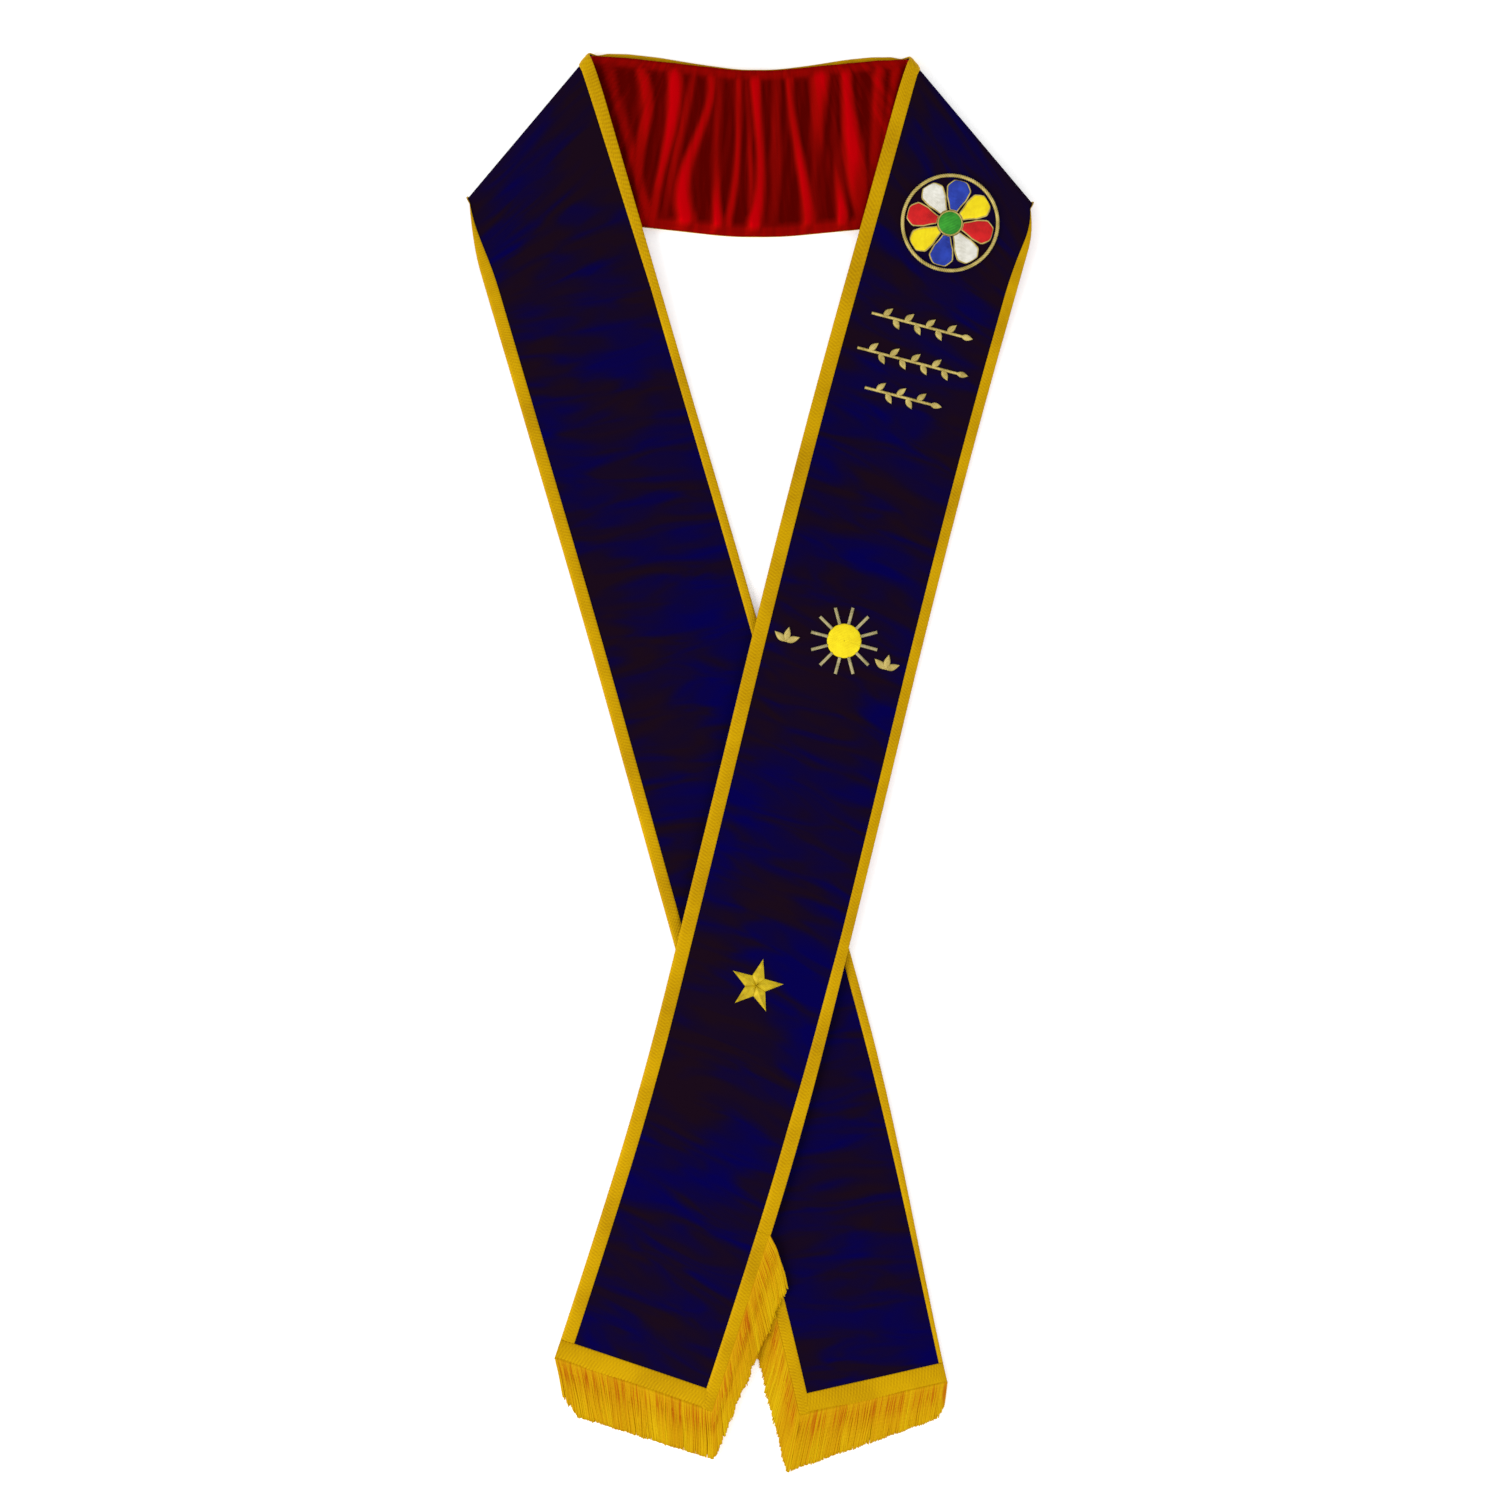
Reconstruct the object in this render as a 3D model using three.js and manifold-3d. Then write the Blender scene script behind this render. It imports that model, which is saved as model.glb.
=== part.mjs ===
// Ceremonial sash: one long band of velvet, lined and edged with braid, folded at both
// shoulders and laid flat with its two arms crossed and its fringed ends side by side.
// Millimetres, +Z up. Seen from above, X runs to the right and Y up towards the neck.
import * as THREE from "three";
import { mergeVertices } from "three/addons/utils/BufferGeometryUtils.js";
import Module from "manifold-3d";

const wasm = await Module();
wasm.setup();

// The band, across
const bandWidth = 98.6;
const braidWidth = 8.5;
const braidOverhang = 1;
const half = bandWidth / 2;
const braidInner = half - braidWidth + braidOverhang;
const braidOuter = half + braidOverhang;

// The layers, measured from the seam face between velvet and lining towards the velvet's face
const layers = {
  velvet: [0.15, 1.35],
  lining: [-1.15, -0.15],
  braid: [1.65, 2.65],
};

// Embroidery and applique stand this far off the velvet and are this thick
const motif = { gap: 0.45, thick: 1.2 };

// Heights of the seam face: the neck lies velvet side down, the arms lining side down
const neckLevel = layers.braid[1];
const armLevel = -layers.lining[0];
const foldLevel = 7.05;
const rollRadius = (foldLevel - neckLevel) / 2;
const rollSteps = 8;

// Where an arm lies on the neck strip, or the over arm on the under arm, it is raised.
// It stays up for the clear distance past what it lies on, then falls over the next.
const neckRise = foldLevel - armLevel;
const neckClear = 12;
const neckFall = 95;
const crossRise = 4.5;
const crossClear = 12;
const crossFall = 80;

// The neck, from the bend at the centre back to each fold, whose line lies at the angle
// below level. The mesh's lines across turn parallel to a fold beside it.
const centreBack = { x: 3.5, y: 363.3 };
const neckBendHalf = 26;
const foldAngle = 49.9;
const slant = { clear: 8, onNeck: 95, onArm: 115 };
const neckSteps = 9;
const liningNeckSteps = 10;

// At a shoulder the edges turn in, so that its corners are round. An edge moves in by the
// depth at the fold, and less up to the reach on either side. Along the arm it comes out
// quickly at first, up to the half's own reach at the shoulder edge.
const tuck = {
  shoulder: { depth: 5.2, from: 37, onNeck: 30 },
  neckward: { depth: 1, from: 38, onNeck: 20 },
};
const neckwardReach = 30;

// The shoulder braid rolls over the edge there: by the fold this share of its width is gone.
const braidTaper = { share: 0.8, onNeck: 20, onArm: 80 };

// Across the neck the neckward braid stands out further, as a thin gold line past the lining.
const neckLine = { out: 1.7, fade: 6 };

// An edge that rolls under shows less of its braid, most of all the right-hand edge of each
// arm: the width left at distances from the fold.
const wholeBraid = [{ at: 0, width: braidWidth }];
const overShoulderBraid = [
  { at: 480, width: 6.2 },
  { at: 600, width: braidWidth },
];
const underShoulderBraid = [
  { at: 600, width: 7.6 },
  { at: 675, width: braidWidth },
];
const underNeckwardBraid = [
  { at: 0, width: braidWidth },
  { at: 110, width: 5.4 },
];

// One row for each half: its side, the slope of its neck run and that run's length, the reach
// of its tuck along the arm, and the widths of its braids
const overSide = {
  side: 1, neckSlope: 5.6, neckLength: 126, tuckReach: 22,
  shoulderBraid: overShoulderBraid, neckwardBraid: wholeBraid,
};
const underSide = {
  side: -1, neckSlope: 6.4, neckLength: 135, tuckReach: 50,
  shoulderBraid: underShoulderBraid, neckwardBraid: underNeckwardBraid,
};

// How far each arm leans from the vertical, in degrees, at distances from its fold. The
// fold itself sets the lean where the arm starts.
const overLean = [
  { at: 0, lean: 2 * foldAngle + overSide.neckSlope - 90 },
  { at: 110, lean: 15.7 },
  { at: 230, lean: 14.4 },
  { at: 350, lean: 13.6 },
  { at: 540, lean: 14.0 },
  { at: 660, lean: 17.4 },
  { at: 774, lean: 18.4 },
];
const underLean = [
  { at: 0, lean: 2 * foldAngle + underSide.neckSlope - 90 },
  { at: 230, lean: 16.5 },
  { at: 350, lean: 15.6 },
  { at: 480, lean: 15.7 },
  { at: 600, lean: 14.8 },
  { at: 786, lean: 12.6 },
];
const overLength = 773;
const underLength = 785;

// Towards its end the under arm's edges roll in a little, the neckward one by more.
const rolledIn = { from: 560, to: 785, share: 0.05, neckward: 4 };
const notRolled = { share: 0, neckward: 0 };

// The fringe: a woven header along the end and 4 inches up the shoulder edge, with locks.
// A lock has half widths at its root and tip, and drops from the header between places
// along it.
const sideFringe = 110;
const headerDepth = 11.5;
const headerGap = 0.4;
const sideReach = 14;
const lockThick = 2.4;
const endLocks = { count: 10, root: 4.7, tip: 3.7, dropFrom: 0.6, dropTo: 9 };
const sideLocks = { count: 7, root: 3.1, tip: 2.4, dropFrom: 8.5, dropTo: 16 };

// The locks' lengths, and the degrees by which they lean outwards from straight down the
// sash: along the end from its neckward corner to its shoulder corner, and along the side
// from its top to that corner.
const overLocks = { endLean: [11, 1], sideLean: [15, 1], endLength: [34, 29], sideLength: 34 };
const underLocks = { endLean: [8, 12], sideLean: [15, 12], endLength: [21, 35], sideLength: 34 };

const colours = {
  velvet: 0x0d0730,
  satin: 0xb00508,
  braid: 0xc89b14,
  fringe: 0xd2a00a,
  red: 0xc01018,
  blue: 0x1c2f9c,
  yellow: 0xe8c81c,
  white: 0xe8e6dc,
  green: 0x14713a,
};

const radians = THREE.MathUtils.degToRad;

// Between two rows of a table, a smooth step from one value to the next.
function lookUp(rows, at, column) {
  const last = rows.length - 1;
  if (at <= rows[0].at) return rows[0][column];
  if (at >= rows[last].at) return rows[last][column];
  const i = rows.findIndex((row) => row.at > at) - 1;
  const share = (at - rows[i].at) / (rows[i + 1].at - rows[i].at);
  return THREE.MathUtils.lerp(rows[i][column], rows[i + 1][column], share);
}

// 1 up to reach, then a smooth fall to 0 over the length of the fall.
function fallOff(distance, reach, fall) {
  return 1 - THREE.MathUtils.smoothstep(distance, reach, reach + fall);
}

// 1 at 0, then a fall to 0 at the reach that is quickest at first.
function quickFall(distance, reach) {
  return (1 - THREE.MathUtils.clamp(distance / reach, 0, 1)) ** 2.5;
}

// A flat strip's centreline: it starts at a point and turns as its heading function says.
// It runs on straight past both ends.
function strip(start, headingAt, length) {
  const step = 2;
  const points = [start.clone()];
  for (let s = 0; s < length; s += step) {
    const heading = headingAt(s + step / 2);
    const ahead = new THREE.Vector2(Math.cos(heading), Math.sin(heading));
    points.push(points.at(-1).clone().addScaledVector(ahead, step));
  }
  return (along, across) => {
    const i = THREE.MathUtils.clamp(Math.floor(along / step), 0, points.length - 2);
    const heading = headingAt(THREE.MathUtils.clamp(along, 0, length));
    const left = new THREE.Vector2(Math.sin(heading), -Math.cos(heading));
    const point = points[i].clone().lerp(points[i + 1], along / step - i);
    return point.addScaledVector(left, across);
  };
}

// Half of the band, worked out as if on the right: neck run, roll and arm.
// v is the distance along the centreline from the centre back, d the distance across,
// more than 0 towards the neck's lower edge and the arm's shoulder edge.
function halfBand(halfSide, lean, armLength, groundUnder, endRoll) {
  const { side, neckSlope, neckLength, tuckReach, shoulderBraid, neckwardBraid } = halfSide;
  const slope = radians(neckSlope);
  const neck = strip(
    new THREE.Vector2(0, 0),
    (s) => slope * THREE.MathUtils.smoothstep(s, 0, neckBendHalf),
    neckLength,
  );
  const fold = radians(-foldAngle);
  const foldDirection = new THREE.Vector2(Math.cos(fold), Math.sin(fold));
  const outward = new THREE.Vector2(-Math.sin(fold), Math.cos(fold));
  const crossing = slope - fold;
  const advance = 1 / Math.tan(crossing);
  const rollLength = (Math.PI * rollRadius) / Math.sin(crossing);
  const foldCentre = neck(neckLength, 0);
  const armStart = foldCentre
    .clone()
    .addScaledVector(foldDirection, Math.PI * rollRadius * advance);
  const arm = strip(armStart, (s) => radians(-90 - lookUp(lean, s, "lean")), armLength);

  // How far along a line across runs for each step across.
  const slantEnd = neckLength - slant.clear;
  const neckSlant = (s) => advance * THREE.MathUtils.smoothstep(s, slantEnd - slant.onNeck, slantEnd);
  const armSlant = (s) => advance * fallOff(s, slant.clear, slant.onArm);
  const neckEdge = (x) => Math.tan(slope) * Math.max(0, x - neckBendHalf / 2) - half;

  function world(flat, z, tilt) {
    const point = new THREE.Vector3(centreBack.x + side * flat.x, centreBack.y + flat.y, z);
    const up = new THREE.Vector3(side * tilt.x, tilt.y, tilt.z);
    return { point, up };
  }

  // How far the arm lies above the table: it comes down from the neck strip below the
  // neck's edge, and rests on what the ground function says.
  function riseAt(x, y) {
    const fromNeck = neckRise * fallOff(neckEdge(x) - y, neckClear, neckFall);
    return Math.max(fromNeck, groundUnder(centreBack.x + side * x, centreBack.y + y));
  }

  const endShare = (onArm) => THREE.MathUtils.smoothstep(onArm, rolledIn.from, rolledIn.to);

  // A distance across once the edges have turned in beside the fold and at the end.
  function tucked(v, distance) {
    const { depth, from, onNeck } = distance > 0 ? tuck.shoulder : tuck.neckward;
    const past = (Math.abs(distance) - from) / (braidOuter - from);
    if (past <= 0) return distance;
    const beyondFold = v - neckLength - rollLength;
    const onNeckShare = THREE.MathUtils.smoothstep(v, neckLength - onNeck, neckLength);
    const onArmShare = quickFall(beyondFold, distance > 0 ? tuckReach : neckwardReach);
    const rolled = distance < 0 ? endRoll.neckward * endShare(beyondFold) : 0;
    const moved = (depth * Math.min(onNeckShare, onArmShare) + rolled) * past * past;
    return distance - Math.sign(distance) * moved;
  }

  function at(v, distance, lift = 0) {
    const d = tucked(v, distance);
    if (v < neckLength) {
      const flat = neck(v + neckSlant(v) * d, d);
      return world(flat, neckLevel + lift, new THREE.Vector3(0, 0, -1));
    }
    const onArm = v - neckLength - rollLength;
    if (onArm <= 0) {
      const angle = (Math.PI * (v - neckLength)) / rollLength;
      const alongFold = d / Math.sin(crossing) + rollRadius * angle * advance;
      const flat = foldCentre
        .clone()
        .addScaledVector(foldDirection, alongFold)
        .addScaledVector(outward, rollRadius * Math.sin(angle));
      const tilt = new THREE.Vector3(outward.x, outward.y, 0).multiplyScalar(Math.sin(angle));
      tilt.z = -Math.cos(angle);
      return world(flat, neckLevel + rollRadius * (1 - Math.cos(angle)), tilt);
    }
    // In the plane the arm runs the other way round, so across is turned about.
    const narrow = 1 - endRoll.share * endShare(onArm);
    const flat = arm(onArm + armSlant(onArm) * d, -d * narrow);
    return world(flat, armLevel + riseAt(flat.x, flat.y), new THREE.Vector3(0, 0, 1));
  }

  const length = neckLength + rollLength + armLength;

  // Places along the half band where the mesh has a line across.
  function lines(stepsOnNeck) {
    const places = [];
    for (let i = 0; i < stepsOnNeck; i++) places.push((neckLength * i) / stepsOnNeck);
    for (let i = 0; i <= rollSteps; i++) places.push(neckLength + (rollLength * i) / rollSteps);
    // Each run of the arm ends at its place and has lines about a step apart.
    const runs = [
      { end: 196, step: 15 },
      { end: armLength - sideFringe, step: 33 },
      { end: armLength - headerDepth, step: 15 },
      { end: armLength, step: headerDepth },
    ];
    let from = 0;
    for (const { end, step } of runs) {
      const steps = Math.round((end - from) / step);
      for (let i = 1; i <= steps; i++) {
        places.push(neckLength + rollLength + from + ((end - from) * i) / steps);
      }
      from = end;
    }
    return places;
  }
  const armFrom = neckLength + rollLength;
  // The distance across of the inner edge of the braid on the side of that distance.
  function innerEdge(v, distance) {
    const braid = distance > 0 ? shoulderBraid : neckwardBraid;
    return Math.sign(distance) * (braidOuter - lookUp(braid, v - armFrom, "width"));
  }
  return { at, length, lines, side, neckLength, armFrom, innerEdge };
}

const under = halfBand(underSide, underLean, underLength, () => 0, rolledIn);

// The under arm's centreline, for the ground that the over arm lies on.
const underRun = [];
const runStep = 6;
for (let v = under.armFrom; v <= under.length; v += runStep) underRun.push(under.at(v, 0).point);

// The over arm rests on the under arm where they cross and falls to the table beside it.
// The side fringe makes the under arm wider below the height where it starts.
const fringeStarts = { from: -170, to: -230 };
function crossingGround(x, y) {
  let away = Infinity;
  for (const point of underRun) away = Math.min(away, Math.hypot(point.x - x, point.y - y));
  const fringeRoom = sideReach * THREE.MathUtils.smoothstep(-y, -fringeStarts.from, -fringeStarts.to);
  return crossRise * fallOff(away - half - fringeRoom, crossClear, crossFall);
}

const over = halfBand(overSide, overLean, overLength, crossingGround, notRolled);

// Flat triangles between the corners that it is given, as one body facing out.
function bodyOf(positions, triangles) {
  const geometry = new THREE.BufferGeometry();
  geometry.setAttribute("position", new THREE.Float32BufferAttribute(positions, 3));
  geometry.setIndex(triangles);
  let volume = 0;
  const corners = [0, 1, 2].map(() => new THREE.Vector3());
  for (let i = 0; i < triangles.length; i += 3) {
    corners.forEach((corner, k) =>
      corner.fromBufferAttribute(geometry.attributes.position, triangles[i + k]),
    );
    volume += corners[0].dot(corners[1].clone().cross(corners[2])) / 6;
  }
  if (volume < 0) {
    for (let i = 0; i < triangles.length; i += 3) {
      [triangles[i], triangles[i + 1]] = [triangles[i + 1], triangles[i]];
    }
    geometry.setIndex(triangles);
  }
  return geometry;
}

// A slab of cloth between rows of places: pairAt(i, k) gives its outer and inner corner.
function slab(rows, columns, pairAt) {
  const positions = [];
  for (let i = 0; i < rows; i++) {
    for (let k = 0; k < columns; k++) {
      for (const corner of pairAt(i, k)) positions.push(corner.x, corner.y, corner.z);
    }
  }
  const outer = (i, k) => 2 * (i * columns + k);
  const inner = (i, k) => outer(i, k) + 1;
  const triangles = [];
  const quad = (a, b, c, d) => triangles.push(a, b, c, a, c, d);
  for (let i = 0; i + 1 < rows; i++) {
    for (let k = 0; k + 1 < columns; k++) {
      quad(outer(i, k), outer(i + 1, k), outer(i + 1, k + 1), outer(i, k + 1));
      quad(inner(i, k), inner(i, k + 1), inner(i + 1, k + 1), inner(i + 1, k));
    }
    const last = columns - 1;
    quad(outer(i, 0), inner(i, 0), inner(i + 1, 0), outer(i + 1, 0));
    quad(outer(i, last), outer(i + 1, last), inner(i + 1, last), inner(i, last));
  }
  for (let k = 0; k + 1 < columns; k++) {
    const last = rows - 1;
    quad(outer(0, k), outer(0, k + 1), inner(0, k + 1), inner(0, k));
    quad(outer(last, k), inner(last, k), inner(last, k + 1), outer(last, k + 1));
  }
  return bodyOf(positions, triangles);
}

// A layer of the band through places, a list of { part, v }, at distances across. The move
// changes a distance at a place.
const unmoved = (part, v, distance) => distance;
const notLifted = () => 0;
function bandLayer(places, across, [inner, outer], liftAt = notLifted, move = unmoved) {
  return slab(places.length, across.length, (i, k) => {
    const { part, v } = places[i];
    const distance = move(part, v, across[k]);
    const { point, up } = part.at(v, distance, liftAt(part, v, distance));
    return [point.clone().addScaledVector(up, outer), point.clone().addScaledVector(up, inner)];
  });
}

// Lines across are dropped where they are closer than this to the end of a layer.
const nearestLine = 2;

// From the over arm's end, round by the neck, to the under arm's end.
function placesBetween(overEnd, underEnd) {
  const onPart = (part, end) =>
    part.lines(neckSteps).filter((v) => v < end - nearestLine).concat(end).map((v) => ({ part, v }));
  return [...onPart(over, overEnd).reverse(), ...onPart(under, underEnd).slice(1)];
}

const middleCell = 20;
const velvetAcross = [-half, -braidInner, -middleCell, middleCell, braidInner, half];
const liningAcross = [-half, -braidInner, -middleCell, middleCell, braidInner, braidOuter];

// Gathers of the lining across the neck: ridges rise from it by the height of the row
// nearest to them. x is the place from the centre back, along the neck.
const gathers = [
  { x: -92, height: 1.6 },
  { x: -80, height: 2.2 },
  { x: -61, height: 2.6 },
  { x: -46, height: 2.2 },
  { x: -33, height: 2.4 },
  { x: -21, height: 1.7 },
  { x: -9, height: 2.8 },
  { x: 4, height: 2.5 },
  { x: 16, height: 2.0 },
  { x: 28, height: 2.8 },
  { x: 44, height: 2.3 },
  { x: 61, height: 2.8 },
  { x: 76, height: 2.0 },
  { x: 88, height: 1.5 },
];
const gatherHalf = 6;
const gatherEdge = { share: 0.35, depth: 9 };

// The arms press the ridges that run under them to a lower height. They cover the neck from
// these distances from the centre back, at its upper and its lower edge.
const pressed = { height: 1.6, upper: 90, lower: 64, clear: 8, fade: 12 };
const highestRidge = 2.8;

function gatherLift(part, v, d) {
  const x = part.side * v;
  let lift = 0;
  for (const gather of gathers) {
    const away = Math.abs(x - gather.x) / gatherHalf;
    if (away < 1) lift = Math.max(lift, gather.height * (0.5 + 0.5 * Math.cos(Math.PI * away)));
  }
  const inside = THREE.MathUtils.smoothstep(half - Math.abs(d), 0, gatherEdge.depth);
  lift *= THREE.MathUtils.lerp(gatherEdge.share, 1, inside);
  const fromCentre = Math.abs(part.at(v, d).point.x - centreBack.x);
  const covered = THREE.MathUtils.lerp(pressed.upper, pressed.lower, (d + half) / bandWidth);
  const free = 1 - fallOff(covered - fromCentre, pressed.clear, pressed.fade);
  return Math.min(lift, THREE.MathUtils.lerp(pressed.height, highestRidge, free));
}

// The lining has more lines across the neck, one on each ridge and one in each trough.
function liningPlaces() {
  const onPart = (part) => {
    const ridges = gathers.map((gather) => part.side * gather.x).filter((v) => v > 0);
    ridges.sort((a, b) => a - b);
    const fine = [];
    ridges.forEach((v, i) => {
      fine.push(v);
      fine.push(i + 1 < ridges.length ? (v + ridges[i + 1]) / 2 : v + gatherHalf);
    });
    const restFrom = fine.at(-1) + 2 * nearestLine;
    const restTo = part.length - nearestLine;
    const rest = part.lines(liningNeckSteps).filter((v) => v > restFrom && v < restTo);
    return [...fine, ...rest, part.length].map((v) => ({ part, v }));
  };
  return [...onPart(over).reverse(), { part: over, v: 0 }, ...onPart(under)];
}

const meshes = [];
function add(name, geometry, colour, roughness, metalness = 0) {
  const material = new THREE.MeshStandardMaterial({ color: colour, roughness, metalness });
  const mesh = new THREE.Mesh(geometry, material);
  mesh.name = name;
  meshes.push(mesh);
  return mesh;
}

// Each layer is a node on the neck and one on each arm, which starts with the shoulder's
// roll. They part along the fold, where the arm hides it.
const foldGap = 0.5;
function atFolds(places) {
  const nodes = { over_arm: [], neck: [], under_arm: [] };
  for (const { part, v } of places) {
    const arm = part === over ? nodes.over_arm : nodes.under_arm;
    if (v === part.neckLength) {
      nodes.neck.push({ part, v: v - foldGap / 2 });
      arm.push({ part, v: v + foldGap / 2 });
    } else {
      const node = v < part.neckLength ? nodes.neck : arm;
      node.push({ part, v });
    }
  }
  return Object.entries(nodes);
}

const velvetMeshes = {};
for (const [where, places] of atFolds(placesBetween(over.length, under.length))) {
  const velvet = bandLayer(places, velvetAcross, layers.velvet);
  velvetMeshes[where] = add(`velvet_${where}`, velvet, colours.velvet, 0.9);
}
for (const [where, places] of atFolds(liningPlaces())) {
  const lining = bandLayer(places, liningAcross, layers.lining, gatherLift);
  add(`lining_${where}`, lining, colours.satin, 0.35);
}

// The braids, each up to the header that it meets at both ends
const endHeader = (part) => part.length - headerDepth;
function addBraid(name, across, overEnd, underEnd, move) {
  for (const [where, places] of atFolds(placesBetween(overEnd, underEnd))) {
    const braid = bandLayer(places, across, layers.braid, notLifted, move);
    add(`${name}_${where}`, braid, colours.braid, 0.45, 0.5);
  }
}
const neckwardAcross = [-braidOuter, -braidInner];
function standingOut(part, v, distance) {
  if (distance === -braidInner) return part.innerEdge(v, distance);
  return distance - neckLine.out * fallOff(v, part.neckLength - neckLine.fade, neckLine.fade);
}
addBraid(
  "neckward_braid", neckwardAcross,
  endHeader(over) - headerGap, endHeader(under) - headerGap, standingOut,
);

const sideHeader = (part) => part.length - sideFringe;
const shoulderAcross = [braidInner, braidOuter];
function tapered(part, v, distance) {
  const onNeck = THREE.MathUtils.smoothstep(v, part.neckLength - braidTaper.onNeck, part.neckLength);
  const onArm = quickFall(v - part.armFrom, braidTaper.onArm);
  const gone = braidTaper.share * Math.min(onNeck, onArm);
  const from = distance === braidInner ? part.innerEdge(v, distance) : distance;
  return THREE.MathUtils.lerp(from, braidOuter, gone);
}
addBraid(
  "shoulder_braid", shoulderAcross,
  sideHeader(over) - headerGap, sideHeader(under) - headerGap, tapered,
);

function solidOf(geometry) {
  const bare = geometry.clone();
  bare.deleteAttribute("normal");
  bare.deleteAttribute("uv");
  const merged = mergeVertices(bare, 1e-4);
  const vertProperties = new Float32Array(merged.attributes.position.array);
  const triVerts = new Uint32Array(merged.index.array);
  return new wasm.Manifold(new wasm.Mesh({ numProp: 3, vertProperties, triVerts }));
}

function geometryOf(solid) {
  const { vertProperties, triVerts } = solid.getMesh();
  return bodyOf(Array.from(vertProperties), Array.from(triVerts));
}

function joined(geometries) {
  return geometryOf(geometries.map(solidOf).reduce((sum, solid) => sum.add(solid)));
}

// One lock: a flat tapered strip that leaves the header, drops off the band's edge and
// lies on what is beneath it.
function lock(root, turn, length, ground, sizes) {
  const direction = new THREE.Vector2(Math.sin(turn), -Math.cos(turn));
  const across = new THREE.Vector2(-direction.y, direction.x);
  const [braidLow, braidHigh] = layers.braid;
  const top = lockThick - armLevel;
  const stations = [
    { s: -1.6, width: sizes.root, low: braidLow + 0.4, high: braidHigh - 0.15 },
    { s: sizes.dropFrom, width: sizes.root, low: braidLow + 0.4, high: braidHigh + 0.15 },
    { s: sizes.dropTo, width: sizes.root * 1.06, low: -armLevel, high: top },
    { s: length * 0.72, width: sizes.root * 0.96, low: -armLevel, high: top - 0.2 },
    { s: length, width: sizes.tip, low: -armLevel, high: top - 1.4 },
  ];
  const corners = [
    { across: -1, up: 0 },
    { across: -0.72, up: 1 },
    { across: 0.72, up: 1 },
    { across: 1, up: 0 },
  ];
  const positions = [];
  for (const { s, width, low, high } of stations) {
    const centre = root.clone().addScaledVector(direction, s);
    for (const corner of corners) {
      const flat = centre.clone().addScaledVector(across, corner.across * width);
      const level = armLevel + ground(flat.x, flat.y);
      positions.push(flat.x, flat.y, level + THREE.MathUtils.lerp(low, high, corner.up));
    }
  }
  const triangles = [0, 1, 2, 0, 2, 3];
  const tip = 4 * (stations.length - 1);
  triangles.push(tip, tip + 2, tip + 1, tip, tip + 3, tip + 2);
  for (let i = 0; i + 1 < stations.length; i++) {
    for (let k = 0; k < 4; k++) {
      const a = 4 * i + k;
      const b = 4 * i + ((k + 1) % 4);
      triangles.push(a, a + 4, b + 4, a, b + 4, b);
    }
  }
  return bodyOf(positions, triangles);
}

// The fringe of one end: the L of header, then locks that hang down the sash.
function fringe(part, ground, { endLean, sideLean, endLength, sideLength }) {
  const lastLine = part.length + braidOverhang;
  const placesFrom = (start) => {
    const lines = part
      .lines(neckSteps)
      .filter((v) => v > start + nearestLine && v < part.length - nearestLine);
    return [start, ...lines, lastLine].map((v) => ({ part, v }));
  };
  const endPlaces = placesFrom(endHeader(part));
  const sidePlaces = placesFrom(sideHeader(part));
  const intoSide = braidInner + braidWidth / 5;
  const endAcross = [-braidOuter, -braidInner, -middleCell, middleCell, intoSide];
  const rootInset = 0.5;
  const solids = [
    bandLayer(endPlaces, endAcross, layers.braid),
    bandLayer(sidePlaces, shoulderAcross, layers.braid),
  ];
  const flatAt = (v, d) => {
    const { point } = part.at(v, d);
    return new THREE.Vector2(point.x, point.y);
  };
  const between = ([first, last], share) => THREE.MathUtils.lerp(first, last, share);
  for (let i = 0; i < endLocks.count; i++) {
    const share = (i + 0.5) / endLocks.count;
    const root = flatAt(lastLine, (2 * share - 1) * (braidOuter - rootInset));
    const turn = radians(part.side * between(endLean, share));
    solids.push(lock(root, turn, between(endLength, share), ground, endLocks));
  }
  for (let i = 0; i < sideLocks.count; i++) {
    const share = (i + 0.35) / sideLocks.count;
    const v = THREE.MathUtils.lerp(sideHeader(part), lastLine, share);
    const root = flatAt(v, braidOuter - rootInset);
    const turn = radians(part.side * between(sideLean, share));
    solids.push(lock(root, turn, sideLength, ground, sideLocks));
  }
  return joined(solids);
}

const onTable = () => 0;
add("over_fringe", fringe(over, crossingGround, overLocks), colours.fringe, 0.5, 0.4);
add("under_fringe", fringe(under, onTable, underLocks), colours.fringe, 0.5, 0.4);

// The height of the velvet's face at a place, where a line straight down meets it.
const downward = new THREE.Raycaster();
function velvetTop(x, y) {
  downward.set(new THREE.Vector3(x, y, 100), new THREE.Vector3(0, 0, -1));
  return downward.intersectObject(velvetMeshes.over_arm)[0].point.z;
}

// Flat shapes joined and raised from the over arm's velvet, turned and placed by their row.
function raised(shapes, { x, y, turn }) {
  const options = { depth: motif.thick, bevelEnabled: false, curveSegments: 8 };
  const solids = shapes.map((shape) => new THREE.ExtrudeGeometry(shape, options));
  const geometry = joined(solids).rotateZ(radians(turn)).translate(x, y, 0);
  const corners = geometry.attributes.position;
  for (let i = 0; i < corners.count; i++) {
    const level = velvetTop(corners.getX(i), corners.getY(i)) + motif.gap;
    corners.setZ(i, level + corners.getZ(i));
  }
  return geometry;
}

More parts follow.
